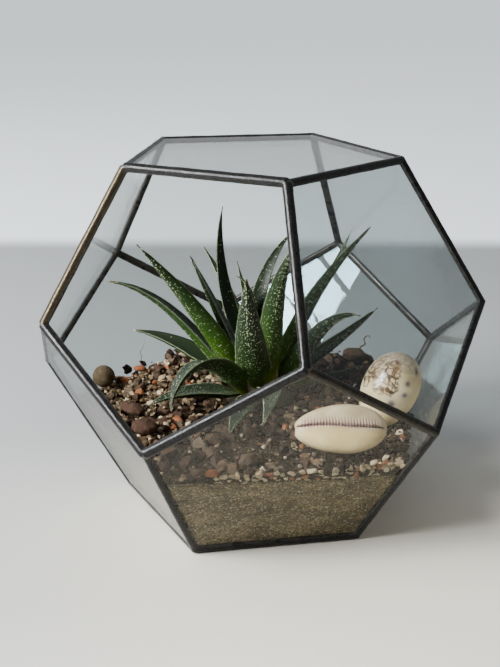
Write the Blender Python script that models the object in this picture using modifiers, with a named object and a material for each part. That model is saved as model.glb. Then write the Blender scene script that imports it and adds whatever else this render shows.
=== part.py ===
"""Geometric glass terrarium, planted with a small spotted aloe.

The case is a regular dodecahedron of glass panes in soldered seams, with one upper face left open as
the doorway. It holds a bed of sandy compost, a bed of gravel, the plant, two cowrie shells and a few
loose stones. Units are metres and +Z is up. The flat undersides of the base seams stand on z = 0, the
Z axis runs through the middle of the base and top panes, and the doorway looks towards -Y.
"""

import math

import bmesh
import bpy
from mathutils import Matrix, Vector, noise

# Driving dimensions of the case
EDGE = 0.100  # every edge of every face, between seam centrelines
GLASS = 0.002  # pane thickness
PANE_INSET = 0.0015  # from a seam's centreline to the pane's cut edge
GAP = 0.0003  # kept between neighbouring pieces
SEAM_WIDE = 0.0034  # half a seam's width, across the fold between two panes
SEAM_DEEP = 0.0025  # half a seam's depth, towards the middle of the case
RIM_WIDE = 0.0030  # the same two for the doorway's rim, which is a rounder bead
RIM_DEEP = 0.0027
SEAM_SIDES = 14
SEAM_OVERRUN = 0.004  # past the corners, before a seam's ends are trimmed to their mitres
JOINT_ROOM = 1.6  # the room cut for a seam's end, against the seam's own section
FOOT = 0.0022  # height of the base seams' centrelines over their flat undersides

# Driving dimensions of the planting
SAND_TOP = 0.0615  # on the case's axis
SAND_FALLS = [(0.070, 0.0), (-0.030, 0.0)]  # fall per metre along X and Y, to the right and to the left
GRAVEL_TOP = 0.0690
GRAVEL_FALLS = [(0.050, -0.030), (-0.020, -0.030)]
ROOT_BALL_RADIUS = 0.022
ROOT_BALL_DEPTH = 0.034
STEM_RADIUS = 0.0035
STEM_HEIGHT = 0.013  # above the gravel
PLANT_PLACE = Vector((-0.003, 0.010, GRAVEL_TOP))

# A regular dodecahedron standing on a face: its corners lie on four levels
PHI = (1 + math.sqrt(5)) / 2
SMALL_RADIUS = EDGE / (2 * math.sin(math.radians(36)))  # base and top pentagons
LARGE_RADIUS = PHI * SMALL_RADIUS  # the zigzag round the middle
LOW_LEVEL = FOOT + SMALL_RADIUS
HIGH_LEVEL = FOOT + LARGE_RADIUS
TOP_LEVEL = FOOT + SMALL_RADIUS + LARGE_RADIUS
MIDDLE = Vector((0, 0, (FOOT + TOP_LEVEL) / 2))
PANE_APOTHEM = EDGE / (2 * math.tan(math.radians(36)))


def clear_scene():
    for obj in list(bpy.data.objects):
        bpy.data.objects.remove(obj)


def new_collection(name):
    collection = bpy.data.collections.new(name)
    bpy.context.scene.collection.children.link(collection)
    return collection


def finish(name, colour, roughness, metallic=0.0, transmission=0.0):
    """A plain material: every piece of one finish shares it."""
    material = bpy.data.materials.new(name)
    material.use_nodes = True
    shader = material.node_tree.nodes["Principled BSDF"]
    shader.inputs["Base Color"].default_value = (*colour, 1)
    shader.inputs["Roughness"].default_value = roughness
    shader.inputs["Metallic"].default_value = metallic
    shader.inputs["Transmission Weight"].default_value = transmission
    return material


def add_piece(name, mesh, material):
    obj = bpy.data.objects.new(name, mesh)
    PARTS.objects.link(obj)
    if not mesh.materials:
        mesh.materials.append(material)
    return obj


def add_cutter(name, mesh):
    obj = bpy.data.objects.new(name, mesh)
    CUTTERS.objects.link(obj)
    obj.hide_render = True
    obj.display_type = "WIRE"
    return obj


def cut(obj, cutter, solver="EXACT"):
    modifier = obj.modifiers.new("cut_" + cutter.name, "BOOLEAN")
    modifier.object = cutter
    modifier.operation = "DIFFERENCE"
    modifier.solver = solver


def mesh_from(bm, name, smooth_angle=None):
    """The finished mesh, with its normals facing out."""
    bmesh.ops.recalc_face_normals(bm, faces=bm.faces)
    mesh = bpy.data.meshes.new(name)
    bm.to_mesh(mesh)
    bm.free()
    if smooth_angle:
        mesh.shade_smooth()
        mesh.set_sharp_from_angle(angle=math.radians(smooth_angle))
    return mesh


def keep_side(bm, point, normal):
    """Cuts a closed mesh with a plane, keeps what lies on the normal's side, and closes the cut."""
    done = bmesh.ops.bisect_plane(
        bm,
        geom=bm.verts[:] + bm.edges[:] + bm.faces[:],
        dist=1e-7,
        plane_co=point,
        plane_no=normal,
        clear_inner=True,
    )
    rim = [part for part in done["geom_cut"] if isinstance(part, bmesh.types.BMEdge)]
    if rim:
        bmesh.ops.holes_fill(bm, edges=rim)


# The case -------------------------------------------------------------------------------------------


def corner(level, turn):
    """A corner of the case, by the letter of its level and its place round the axis."""
    radius, height, start = {
        "B": (SMALL_RADIUS, FOOT, -90),
        "L": (LARGE_RADIUS, LOW_LEVEL, -90),
        "U": (LARGE_RADIUS, HIGH_LEVEL, -126),
        "T": (SMALL_RADIUS, TOP_LEVEL, -126),
    }[level]
    angle = math.radians(start + 72 * turn)
    return Vector((radius * math.cos(angle), radius * math.sin(angle), height))


def face_corners():
    """Every face by its pane's name, as corner labels in order. The doorway is the one with no pane."""
    faces = {
        "pane_base": [("B", k) for k in range(5)],
        "pane_top": [("T", k) for k in range(5)],
    }
    for k in range(5):
        after = (k + 1) % 5
        faces[f"pane_lower_{k + 1}"] = [("B", k), ("B", after), ("L", after), ("U", after), ("L", k)]
        name = f"pane_upper_{k}" if k else "doorway"
        faces[name] = [("T", k), ("T", after), ("U", after), ("L", k), ("U", k)]
    return faces


def face_frame(labels):
    """A frame at the face's centre, with Z along its outward normal and Y towards its first corner."""
    points = [corner(*label) for label in labels]
    centre = sum(points, Vector()) / 5
    normal = (centre - MIDDLE).normalized()
    up = (points[0] - centre).normalized()
    frame = Matrix((up.cross(normal), up, normal)).transposed().to_4x4()
    frame.translation = centre
    return frame


def pane_mesh(name, inset, thickness):
    """A pentagon of glass, its edges inset from the seam centrelines."""
    bm = bmesh.new()
    radius = (PANE_APOTHEM - inset) / math.cos(math.radians(36))
    bmesh.ops.create_cone(
        bm, cap_ends=True, segments=5, radius1=radius, radius2=radius, depth=thickness
    )
    return mesh_from(bm, name)


def make_panes():
    """The eleven panes, and for each the slot that it stands in. Returns these cutters by name."""
    sheet = pane_mesh("pane", PANE_INSET, GLASS)
    slot = pane_mesh("slot", PANE_INSET - GAP, GLASS + 2 * GAP)
    slots = {}
    for name, labels in face_corners().items():
        if name == "doorway":
            continue
        add_piece(name, sheet, CLEAR_GLASS).matrix_world = face_frame(labels)
        slots[name] = add_cutter("slot_" + name, slot)
        slots[name].matrix_world = face_frame(labels)
    bm = bmesh.new()
    bmesh.ops.create_cube(bm, size=4 * LARGE_RADIUS)
    slots["ground"] = add_cutter("ground", mesh_from(bm, "ground"))
    slots["ground"].location.z = -2 * LARGE_RADIUS
    return slots


def seam_section(corner_point, along, plane_normal, wide, deep, edge_middle):
    """One oval ring of a seam, slid along the seam onto a plane through the corner."""
    outward = edge_middle - MIDDLE
    outward = (outward - along * outward.dot(along)).normalized()
    across = along.cross(outward)
    ring = []
    for side in range(SEAM_SIDES):
        angle = 2 * math.pi * side / SEAM_SIDES
        point = corner_point + across * (wide * math.cos(angle)) + outward * (deep * math.sin(angle))
        slide = (corner_point - point).dot(plane_normal) / along.dot(plane_normal)
        ring.append(point + along * slide)
    return ring


def seam_bmesh(labels, closed, wide, deep, overrun=SEAM_OVERRUN):
    """A bead of solder along the edges that join the corners, mitred where it turns."""
    points = [corner(*label) for label in labels]
    count = len(points)
    runs = count if closed else count - 1
    along = [(points[(i + 1) % count] - points[i]).normalized() for i in range(runs)]
    middles = [(points[(i + 1) % count] + points[i]) / 2 for i in range(runs)]
    rings = []
    for i in range(count):
        before, after = (i - 1) % runs, i % runs
        if closed or 0 < i < count - 1:
            normal = (along[before] + along[after]).normalized()
            rings.append(seam_section(points[i], along[after], normal, wide, deep, middles[after]))
        elif i == 0:
            end = points[i] - along[0] * overrun
            rings.append(seam_section(end, along[0], along[0], wide, deep, middles[0]))
        else:
            end = points[i] + along[-1] * overrun
            rings.append(seam_section(end, along[-1], along[-1], wide, deep, middles[-1]))
    bm = bmesh.new()
    loops = [[bm.verts.new(point) for point in ring] for ring in rings]
    for i in range(runs):
        first, second = loops[i], loops[(i + 1) % count]
        for side in range(SEAM_SIDES):
            other = (side + 1) % SEAM_SIDES
            bm.faces.new((first[side], first[other], second[other], second[side]))
    if not closed:
        bm.faces.new(loops[0])
        bm.faces.new(reversed(loops[-1]))
    return bm


def neighbours(label):
    """The three corners joined to a corner."""
    level, k = label
    before, after = (k - 1) % 5, (k + 1) % 5
    return {
        "B": [("B", before), ("B", after), ("L", k)],
        "L": [("B", k), ("U", k), ("U", after)],
        "U": [("T", k), ("L", k), ("L", before)],
        "T": [("T", before), ("T", after), ("U", k)],
    }[level]


def mitre(bm, label, towards, offset):
    """Trims a seam's end at a corner to its own third of the joint, this far inside the mitre planes."""
    point = corner(*label)
    own = (corner(*towards) - point).normalized()
    for other in neighbours(label):
        if other == towards:
            continue
        normal = (own - (corner(*other) - point).normalized()).normalized()
        keep_side(bm, point + normal * offset, normal)


def make_seam(name, labels, slots, closed=False, wide=SEAM_WIDE, deep=SEAM_DEEP):
    """A seam along one edge or several, open for the panes beside it and for the seams that join it."""
    bm = seam_bmesh(labels, closed, wide, deep)
    if not closed:
        mitre(bm, labels[0], labels[1], GAP / 2)
        mitre(bm, labels[-1], labels[-2], GAP / 2)
    seam = add_piece(name, mesh_from(bm, name, smooth_angle=40), PATINA)
    if any(level == "B" for level, _ in labels):
        cut(seam, slots["ground"])
    for pane, face in face_corners().items():
        if pane != "doorway" and len(set(face) & set(labels)) > 1:
            cut(seam, slots[pane])
    turns = labels if closed else labels[1:-1]
    for label in turns:
        branch = next(other for other in neighbours(label) if other not in labels)
        # The cutter's edge lies in the same plane as the seam's mitre, which the exact solver leaves open
        cut(seam, joint_cutter(label, branch), solver="MANIFOLD")


def joint_cutter(label, towards):
    """The room that another seam's end takes in a corner where a ring turns."""
    wide, deep = JOINT_ROOM * SEAM_WIDE, JOINT_ROOM * SEAM_DEEP
    bm = seam_bmesh([label, towards], False, wide, deep, overrun=2 * SEAM_OVERRUN)
    mitre(bm, label, towards, -GAP / 2)
    name = "joint_{}{}_{}{}".format(*label, *towards)
    return add_cutter(name, mesh_from(bm, name))


def make_lead_work(slots):
    make_seam("base_ring", [("B", k) for k in range(5)], slots, closed=True)
    make_seam("top_ring", [("T", k % 5) for k in range(1, 6)], slots)
    rim = face_corners()["doorway"]
    make_seam("doorway_rim", rim, slots, closed=True, wide=RIM_WIDE, deep=RIM_DEEP)
    for k in range(5):
        make_seam(f"lower_strut_{k + 1}", [("B", k), ("L", k)], slots)
    for k in range(2, 5):
        make_seam(f"upper_strut_{k - 1}", [("T", k), ("U", k)], slots)
    zigzag = [edge for k in range(5) for edge in ([("U", k), ("L", k)], [("L", k), ("U", (k + 1) % 5)])]
    middle = [edge for edge in zigzag if not set(edge) <= set(rim)]
    for number, edge in enumerate(middle, 1):
        make_seam(f"middle_seam_{number}", edge, slots)


# The fill -------------------------------------------------------------------------------------------


def bed_bmesh(top, falls):
    """What fits inside the lower panes and the seams between them, up to a top that falls to the sides."""
    bm = bmesh.new()
    bmesh.ops.create_cube(bm, size=4 * LARGE_RADIUS)
    for name, labels in face_corners().items():
        if name == "pane_base" or "lower" in name:
            frame = face_frame(labels)
            inward = -frame.col[2].to_3d()
            keep_side(bm, frame.translation + inward * (GLASS / 2 + GAP), inward)
    for k in range(5):
        for edge in ([("B", k), ("B", (k + 1) % 5)], [("B", k), ("L", k)]):
            middle = (corner(*edge[0]) + corner(*edge[1])) / 2
            inward = (MIDDLE - middle).normalized()
            keep_side(bm, middle + inward * (SEAM_DEEP + GAP), inward)
    keep_under(bm, top, falls)
    return bm


def keep_under(bm, top, falls):
    for along_x, along_y in falls:
        keep_side(bm, Vector((0, 0, top)), -Vector((along_x, along_y, 1)).normalized())


def make_fill(root_pocket):
    """The sand with the gravel over it, both open for the roots. Returns the gravel."""
    sand = add_piece("sand_bed", mesh_from(bed_bmesh(SAND_TOP, SAND_FALLS), "sand_bed"), SAND)
    cut(sand, root_pocket)
    gravel_mesh = mesh_from(bed_bmesh(GRAVEL_TOP, GRAVEL_FALLS), "gravel_bed")
    gravel = add_piece("gravel_bed", gravel_mesh, GRAVEL)
    bm = bmesh.new()
    bmesh.ops.create_cube(bm, size=3 * LARGE_RADIUS)
    keep_under(bm, SAND_TOP + GAP, SAND_FALLS)
    cut(gravel, add_cutter("sand_room", mesh_from(bm, "sand_room")))
    cut(gravel, root_pocket)
    return gravel


# The plant ------------------------------------------------------------------------------------------


def root_profile(grow):
    """The stem and the tapered ball of roots under it, from the top down, as radius and height."""
    return [
        (0, STEM_HEIGHT + grow),
        (STEM_RADIUS * 0.5 + grow, STEM_HEIGHT + grow),
        (STEM_RADIUS + grow, STEM_HEIGHT * 0.2 + grow),
        (STEM_RADIUS * 1.6 + grow, grow),
        (ROOT_BALL_RADIUS + grow, -0.003 + grow),
        (ROOT_BALL_RADIUS * 0.95 + grow, -ROOT_BALL_DEPTH * 0.5),
        (ROOT_BALL_RADIUS * 0.7 + grow, -ROOT_BALL_DEPTH - grow),
        (0, -ROOT_BALL_DEPTH - grow),
    ]


def turned(obj, profile, steps=24):
    """Gives an object the mesh of a profile turned round its own Z axis."""
    bm = bmesh.new()
    verts = [bm.verts.new((radius, 0, height)) for radius, height in profile]
    for upper, lower in zip(verts, verts[1:]):
        bm.edges.new((upper, lower))
    bm.to_mesh(obj.data)
    bm.free()
    screw = obj.modifiers.new("turn", "SCREW")
    screw.steps = screw.render_steps = steps
    screw.use_merge_vertices = True
    screw.merge_threshold = 0.0001


def make_roots():
    """The stem with its roots. Returns the pocket that the fill leaves for them."""
    roots = add_piece("stem_and_roots", bpy.data.meshes.new("stem_and_roots"), ROOTS)
    turned(roots, root_profile(0))
    roots.location = PLANT_PLACE
    pocket = add_cutter("root_pocket", bpy.data.meshes.new("root_pocket"))
    turned(pocket, root_profile(GAP))
    pocket.location = PLANT_PLACE
    return pocket


# Each leaf: azimuth, start radius and height on the stem (mm), rise at the base and at the tip, how late
# it bends, sideways swing (degrees), length and width (mm), and how far its blade is twisted (degrees)
LEAVES = [
    (170, 3.4, 12, 59, 105, 1.4, 0, 113, 12.6, -15),
    (141, 8.5, 9, 67, 24, 0.6, 4, 105, 10, 0),
    (223, 7.2, 9.5, 69, 63, 1, 0, 93, 15, -20),
    (230, 12.4, 9.2, 63, 48, 0.8, 0, 119, 16.5, 45),
    (204, 10.8, 3.5, 51, -5, 3, -1, 114, 17.5, 0),
    (176, 13, 3.0, 26, -7, 1.6, 0, 90, 19, -10),
    (254.8, 15.4, 4.8, 53, -110, 1.9, 3, 93, 20.6, 18),
    (237, 14, 1.9, 17, -24, 2, 1, 67, 16.6, -8),
    (284, 10, 8.2, 58, 86, 1.2, -1, 85, 23.6, 4),
    (252, 4.6, 14, 90, 7, 4, 0, 74, 8, 0),
    (128, 5.9, 15.8, 58, 37, 0.4, 4, 80, 6.5, 0),
    (71, 6.5, 11, 113, 24, 1.2, -2, 104, 14, 25),
    (330.6, 11.3, 9.6, 90, 50, 1.5, 0, 101, 17.8, -24),
    (24, 12.5, 5.6, 85, 46, 0.6, 0, 121, 16.5, -38),
    (59, 8.5, 8.5, 52, 58, 1.1, 0, 111, 10, -10),
    (18, 13.5, 4.0, 60, -25, 3.7, 1, 76, 18.4, -55),
    (57, 11, 4.5, 21, 29, 1.2, 0, 91, 18, -52),
    (36, 17.2, 4.0, 6, 16, 1, 0, 54, 16, -26),
    (308, 12.5, 4.5, 30, -21, 1.2, -27, 83, 15, 0),
    (280, 11, 2.1, 9, -7, 0.9, 6, 66, 15, 0),
]
LEAF_STATIONS = 14
LEAF_NECK = 0.40  # of the full width, where the leaf leaves the stem
LEAF_NECK_LENGTH = 0.22  # of the leaf's length
LEAF_THICKNESS = 0.31  # of the full width, past the neck
LEAF_FOOT_THICKNESS = 0.22  # of the full width, at the stem
LEAF_CHANNEL = 0.10  # depth of the upper side's hollow, of the full width


def leaf_half_width(t, width):
    """Half the width at a share of the length: a narrow neck, full width, then a long taper."""
    neck = LEAF_NECK + (1 - LEAF_NECK) * min(1, t / LEAF_NECK_LENGTH)
    return max(width / 2 * neck * (1 - t**2), 0.0003)


def leaf_rings(rise_base, rise_tip, bend, swing, length, width, twist):
    """Crescent sections along a leaf that starts at the origin and grows towards +X."""
    place = Vector()
    rings = []
    for station in range(LEAF_STATIONS + 1):
        t = station / LEAF_STATIONS
        rise = math.radians(rise_base + (rise_tip - rise_base) * t**bend)
        turn = math.radians(swing * t)
        ahead = Vector(
            (math.cos(rise) * math.cos(turn), math.cos(rise) * math.sin(turn), math.sin(rise))
        )
        past_neck = min(1, t / LEAF_NECK_LENGTH)
        side = Vector((math.sin(turn), -math.cos(turn), 0))
        side = Matrix.Rotation(math.radians(twist * past_neck), 3, ahead) @ side
        over = side.cross(ahead)
        half = leaf_half_width(t, width)
        slim = half / (width / 2)
        stout = LEAF_FOOT_THICKNESS + (LEAF_THICKNESS - LEAF_FOOT_THICKNESS) * past_neck
        thick = stout * width * slim**0.7
        channel = LEAF_CHANNEL * width * slim
        outline = [
            (-1, channel), (-0.5, channel * 0.25), (0, 0), (0.5, channel * 0.25), (1, channel),
            (0.7, -thick * 0.6), (0, -thick), (-0.7, -thick * 0.6),
        ]
        rings.append([place + side * (across * half) + over * up for across, up in outline])
        place = place + ahead * (length / LEAF_STATIONS)
    return rings


def loft(bm, rings):
    """Joins rings of points into one closed skin."""
    loops = [[bm.verts.new(point) for point in ring] for ring in rings]
    count = len(rings[0])
    for first, second in zip(loops, loops[1:]):
        for side in range(count):
            other = (side + 1) % count
            bm.faces.new((first[side], first[other], second[other], second[side]))
    bm.faces.new(loops[0])
    bm.faces.new(reversed(loops[-1]))


def make_leaves():
    for number, row in enumerate(LEAVES, 1):
        azimuth, start_radius, start_height, rise_base, rise_tip, bend, swing, length, width, twist = row
        name = f"leaf_{number:02d}"
        bm = bmesh.new()
        loft(bm, leaf_rings(rise_base, rise_tip, bend, swing, length / 1000, width / 1000, twist))
        leaf = add_piece(name, mesh_from(bm, name, smooth_angle=50), LEAF)
        turn = math.radians(azimuth)
        start = Vector((math.cos(turn) * start_radius, math.sin(turn) * start_radius, start_height))
        leaf.location = PLANT_PLACE + start / 1000
        leaf.rotation_euler.z = turn


# The shells ------------------------------------------------------------------------------------------

# Each: place, where its slit faces, the way its length runs, and its length, width and height
SHELLS = {
    "pale_cowrie": (
        (0.0750, -0.0455, 0.0800), (0.35, -0.71, 0.62), (0.90, 0.44, 0.03), (0.054, 0.029, 0.025),
    ),
    "mottled_cowrie": (
        (0.0845, 0.0135, 0.0840), (0.20, 0.90, -0.40), (0.36, 0.47, 0.80), (0.050, 0.0365, 0.030),
    ),
}
SLIT_DEPTH = 0.004
SLIT_HALF_WIDTH = 0.32  # of half the shell's width
EGG_TAPER = 0.12  # how much wider the blunt end is, and how much narrower the other
SLIT_SIDE = 0.38  # of the height: the side with the slit is flatter than the back


def cowrie_mesh(name, size, grow=0.0):
    """A cowrie lying on its slit: its length along X, its back towards +Z."""
    length, width, height = (measure + 2 * grow for measure in size)
    bm = bmesh.new()
    bmesh.ops.create_uvsphere(bm, u_segments=24, v_segments=14, radius=1)
    bmesh.ops.rotate(bm, verts=bm.verts, matrix=Matrix.Rotation(math.radians(90), 3, "Y"))
    for vert in bm.verts:
        along, across, up = vert.co
        swell = 1 + EGG_TAPER * along
        if up > 0:
            z = up * swell * height * (1 - SLIT_SIDE)
        else:
            slit = max(0, 1 - abs(across) / SLIT_HALF_WIDTH) * (1 - along**2)
            z = up * height * SLIT_SIDE + (SLIT_DEPTH - grow) * slit
        vert.co = (along * length / 2, across * swell * width / 2, z)
    return mesh_from(bm, name, smooth_angle=60)


def shell_frame(place, slit_towards, along):
    """The pose of a shell, from where its slit faces and the way its length runs."""
    back = -Vector(slit_towards).normalized()
    ahead = Vector(along)
    ahead = (ahead - back * ahead.dot(back)).normalized()
    frame = Matrix((ahead, back.cross(ahead), back)).transposed().to_4x4()
    frame.translation = Vector(place)
    return frame


def make_shells(gravel):
    """Both cowries, each settled into the gravel."""
    for name, (place, slit_towards, along, size) in SHELLS.items():
        frame = shell_frame(place, slit_towards, along)
        material = PALE_SHELL if name == "pale_cowrie" else MOTTLED_SHELL
        add_piece(name, cowrie_mesh(name, size), material).matrix_world = frame
        nest = add_cutter("nest_" + name, cowrie_mesh("nest_" + name, size, 2 * GAP))
        nest.matrix_world = frame
        cut(gravel, nest)


# The loose stones -----------------------------------------------------------------------------------

# Each: place on the gravel, length, width and height, turn in degrees, and how rugged it is
STONES = {
    "pitted_stone": ((-0.101, -0.023), (0.0150, 0.0145, 0.0145), 0, 0.03),
    "flat_brown_stone": ((-0.061, -0.053), (0.0185, 0.0095, 0.0065), -15, 0.12),
    "red_brown_pebble": ((-0.037, -0.077), (0.0160, 0.0125, 0.0100), 20, 0.12),
    "back_brown_stone": ((0.033, 0.088), (0.0170, 0.0110, 0.0085), 10, 0.12),
    "terracotta_chip": ((-0.093, 0.009), (0.0090, 0.0055, 0.0040), 30, 0.15),
}


def gravel_height(x, y):
    return GRAVEL_TOP - max(along_x * x + along_y * y for along_x, along_y in GRAVEL_FALLS)


def stone_mesh(name, size, ruggedness):
    """A rounded lump with gentle dents, no larger than its size, standing on z = 0."""
    bm = bmesh.new()
    bmesh.ops.create_icosphere(bm, subdivisions=3, radius=1)
    offset = Vector((len(name) * 3.1, size[0] * 900, 0))
    for vert in bm.verts:
        dent = ruggedness * (1 + noise.noise(vert.co * 1.4 + offset))
        vert.co = vert.co.normalized() * (1 - dent)
    for axis in range(3):
        low = min(vert.co[axis] for vert in bm.verts)
        high = max(vert.co[axis] for vert in bm.verts)
        floor = 0 if axis == 2 else -size[axis] / 2
        for vert in bm.verts:
            vert.co[axis] = floor + (vert.co[axis] - low) / (high - low) * size[axis]
    return mesh_from(bm, name, smooth_angle=60)


def make_stones():
    for name, (place, size, turn, ruggedness) in STONES.items():
        material = TERRACOTTA if name == "terracotta_chip" else STONE
        stone = add_piece(name, stone_mesh(name, size, ruggedness), material)
        stone.location = (*place, gravel_height(*place) + 2 * GAP)
        stone.rotation_euler.z = math.radians(turn)


clear_scene()
PARTS = new_collection("glass_plant_terrarium")
CUTTERS = new_collection("cutters")
CLEAR_GLASS = finish("clear_glass", (0.90, 0.94, 0.93), 0.02, transmission=1.0)
PATINA = finish("dark_patina_solder", (0.06, 0.055, 0.05), 0.35, metallic=1.0)
SAND = finish("sandy_compost", (0.20, 0.16, 0.10), 0.95)
GRAVEL = finish("mixed_gravel", (0.25, 0.17, 0.12), 0.9)
ROOTS = finish("fibrous_roots", (0.22, 0.15, 0.08), 0.9)
LEAF = finish("aloe_leaf", (0.05, 0.13, 0.03), 0.45)
PALE_SHELL = finish("pale_cowrie_shell", (0.78, 0.74, 0.64), 0.25)
MOTTLED_SHELL = finish("mottled_cowrie_shell", (0.62, 0.48, 0.34), 0.25)
STONE = finish("brown_stone", (0.24, 0.16, 0.12), 0.85)
TERRACOTTA = finish("terracotta", (0.50, 0.22, 0.10), 0.9)

make_lead_work(make_panes())
gravel_bed = make_fill(make_roots())
make_leaves()
make_shells(gravel_bed)
make_stones()
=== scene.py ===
"""The looks of a geometric glass terrarium, planted with a spotted aloe over sand and gravel."""

import math
import random

import bmesh
import bpy
import numpy as np
from mathutils import Matrix, Vector, noise
from mathutils.bvhtree import BVHTree


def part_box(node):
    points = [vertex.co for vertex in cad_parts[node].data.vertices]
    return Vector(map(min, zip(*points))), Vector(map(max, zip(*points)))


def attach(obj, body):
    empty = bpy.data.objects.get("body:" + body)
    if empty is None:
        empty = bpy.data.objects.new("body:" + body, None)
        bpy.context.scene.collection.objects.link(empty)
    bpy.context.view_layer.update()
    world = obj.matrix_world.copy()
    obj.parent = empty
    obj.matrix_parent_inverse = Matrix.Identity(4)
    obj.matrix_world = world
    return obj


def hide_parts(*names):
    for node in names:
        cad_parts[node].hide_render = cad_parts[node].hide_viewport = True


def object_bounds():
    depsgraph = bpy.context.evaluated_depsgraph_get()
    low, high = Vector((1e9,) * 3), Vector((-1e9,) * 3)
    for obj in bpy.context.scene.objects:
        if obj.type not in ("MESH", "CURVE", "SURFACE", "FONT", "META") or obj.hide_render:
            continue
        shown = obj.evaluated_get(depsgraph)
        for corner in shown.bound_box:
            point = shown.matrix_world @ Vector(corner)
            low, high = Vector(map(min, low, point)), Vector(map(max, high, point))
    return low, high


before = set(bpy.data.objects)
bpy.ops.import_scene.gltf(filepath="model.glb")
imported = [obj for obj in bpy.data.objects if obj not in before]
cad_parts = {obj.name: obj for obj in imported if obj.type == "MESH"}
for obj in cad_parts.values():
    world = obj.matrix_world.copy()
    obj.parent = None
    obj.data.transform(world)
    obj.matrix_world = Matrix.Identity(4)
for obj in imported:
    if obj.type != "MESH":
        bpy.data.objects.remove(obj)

cad_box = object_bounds()

# ---- The view ------------------------------------------------------------------------------------
# Someone sits at the table, a little to the right of the open face, and looks down on the case. The
# camera stands at the eye, about 70 cm from the middle of the case.

EYE = (0.2806, -0.5864, 0.3370)
camera = bpy.data.objects.new("camera", bpy.data.cameras.new("camera"))
bpy.context.scene.collection.objects.link(camera)
bpy.context.scene.camera = camera
camera.data.lens = 58.96
camera.data.clip_start = 0.01
turn_left, look_down, lean = math.radians(25.96), math.radians(19.06), math.radians(0.145)
camera.matrix_world = (
    Matrix.Translation(EYE)
    @ Matrix.Rotation(turn_left, 4, "Z")
    @ Matrix.Rotation(math.pi / 2 - look_down, 4, "X")
    @ Matrix.Rotation(lean, 4, "Z")
)


# ---- The room ------------------------------------------------------------------------------------
# A worn white table before a pale wall, painted as one sheet whose tone changes at the table's far
# edge. A large window at the sitter's left lights it, with a weaker one further left and the room's
# own daylight. The fall of that light is painted into the table's tone too: painted shade to the
# left and at the back, painted light to the right and near the sitter. Past the far edge the sheet
# glows as painted light, to keep the wall bright.


def give(tree, socket, value):
    """Feeds an input with another node's output, a colour or a number."""
    if isinstance(value, bpy.types.NodeSocket):
        tree.links.new(value, socket)
    elif socket.type == "RGBA" and len(value) == 3:
        socket.default_value = (*value, 1)
    else:
        socket.default_value = value


def add(tree, kind, inputs=(), **settings):
    """A new shader node, its own settings made and its inputs fed by name or number."""
    made = tree.nodes.new("ShaderNode" + kind)
    for name, value in settings.items():
        setattr(made, name, value)
    for name, value in dict(inputs).items():
        give(tree, made.inputs[name], value)
    return made


def paint(tree, shader, **inputs):
    """Feeds a shader's inputs, each named with _ for a space."""
    for key, value in inputs.items():
        give(tree, shader.inputs[key.replace("_", " ")], value)


def new_finish(name, **inputs):
    """A finish, as (material, tree, shader, where): where is a point's place in metres."""
    material = bpy.data.materials.new(name)
    material.use_nodes = True
    tree = material.node_tree
    shader = tree.nodes["Principled BSDF"]
    paint(tree, shader, **inputs)
    return material, tree, shader, add(tree, "TexCoord").outputs["Object"]


def speckle(tree, where, scale, detail=2.0, rough=0.5, warp=0.0):
    inputs = {"Vector": where, "Scale": scale, "Detail": detail, "Roughness": rough}
    return add(tree, "TexNoise", {**inputs, "Distortion": warp}).outputs[0]


def maths(tree, operation, first, second=0.0, clamp=False):
    return add(tree, "Math", {0: first, 1: second}, operation=operation, use_clamp=clamp).outputs[0]


def times(tree, first, second):
    return maths(tree, "MULTIPLY", first, second)


def between(tree, value, low, high, to_low=0.0, to_high=1.0):
    """A smooth step: to_low below low and to_high above high."""
    inputs = {"Value": value, "From Min": low, "From Max": high, "To Min": to_low, "To Max": to_high}
    return add(tree, "MapRange", inputs, interpolation_type="SMOOTHSTEP").outputs[0]


def mix(tree, share, first, second, blend="MIX"):
    """Two colours mixed."""
    made = add(tree, "Mix", data_type="RGBA", blend_type=blend)
    give(tree, made.inputs[0], share)
    give(tree, made.inputs[6], first)
    give(tree, made.inputs[7], second)
    return made.outputs[2]


def relief(tree, shader, height, depth):
    """Bumps on a shader, this deep in metres where the height runs from 0 to 1."""
    made = add(tree, "Bump", {"Height": height, "Distance": depth, "Strength": 1.0})
    give(tree, shader.inputs["Normal"], made.outputs[0])


def link(obj):
    bpy.context.scene.collection.objects.link(obj)
    return obj


def along_way(tree, where, way):
    """How far a place lies along a direction."""
    return add(tree, "VectorMath", {0: where, 1: way}, operation="DOT_PRODUCT").outputs["Value"]


AHEAD = (-0.4376, 0.8992, 0)  # from the sitter to the case
RIGHT_HAND = (0.8992, 0.4376, 0)
TABLE_END = 0.67  # from the middle of the case, away from the sitter
SHEET_HALF = 40
SHEET_DROP = 0.0002  # a hair under the case, so that the two never touch
table_finish, tree, shader, where = new_finish("table_with_painted_light", Roughness=0.5, Specular_IOR_Level=0.3)
away = along_way(tree, where, AHEAD)
to_right = along_way(tree, where, RIGHT_HAND)
# Painted light and shade: the table is painted darker to the left, lighter and warmer to the right and near
# the sitter, and far_tone darkens it towards the back, for how the windows' light falls.
near_tone = mix(tree, between(tree, to_right, -0.22, 0.06), (0.48, 0.475, 0.455), (0.78, 0.74, 0.63))
near_tone = mix(tree, between(tree, away, -0.25, -0.12, 0.35, 0), near_tone, (0.90, 0.88, 0.82))
worn = times(tree, speckle(tree, where, 5, detail=3), 0.10)
far_tone = mix(tree, between(tree, away, -0.06, 0.13), near_tone, (0.365, 0.38, 0.385))
far_tone = mix(tree, worn, far_tone, (0.30, 0.30, 0.29))
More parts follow.
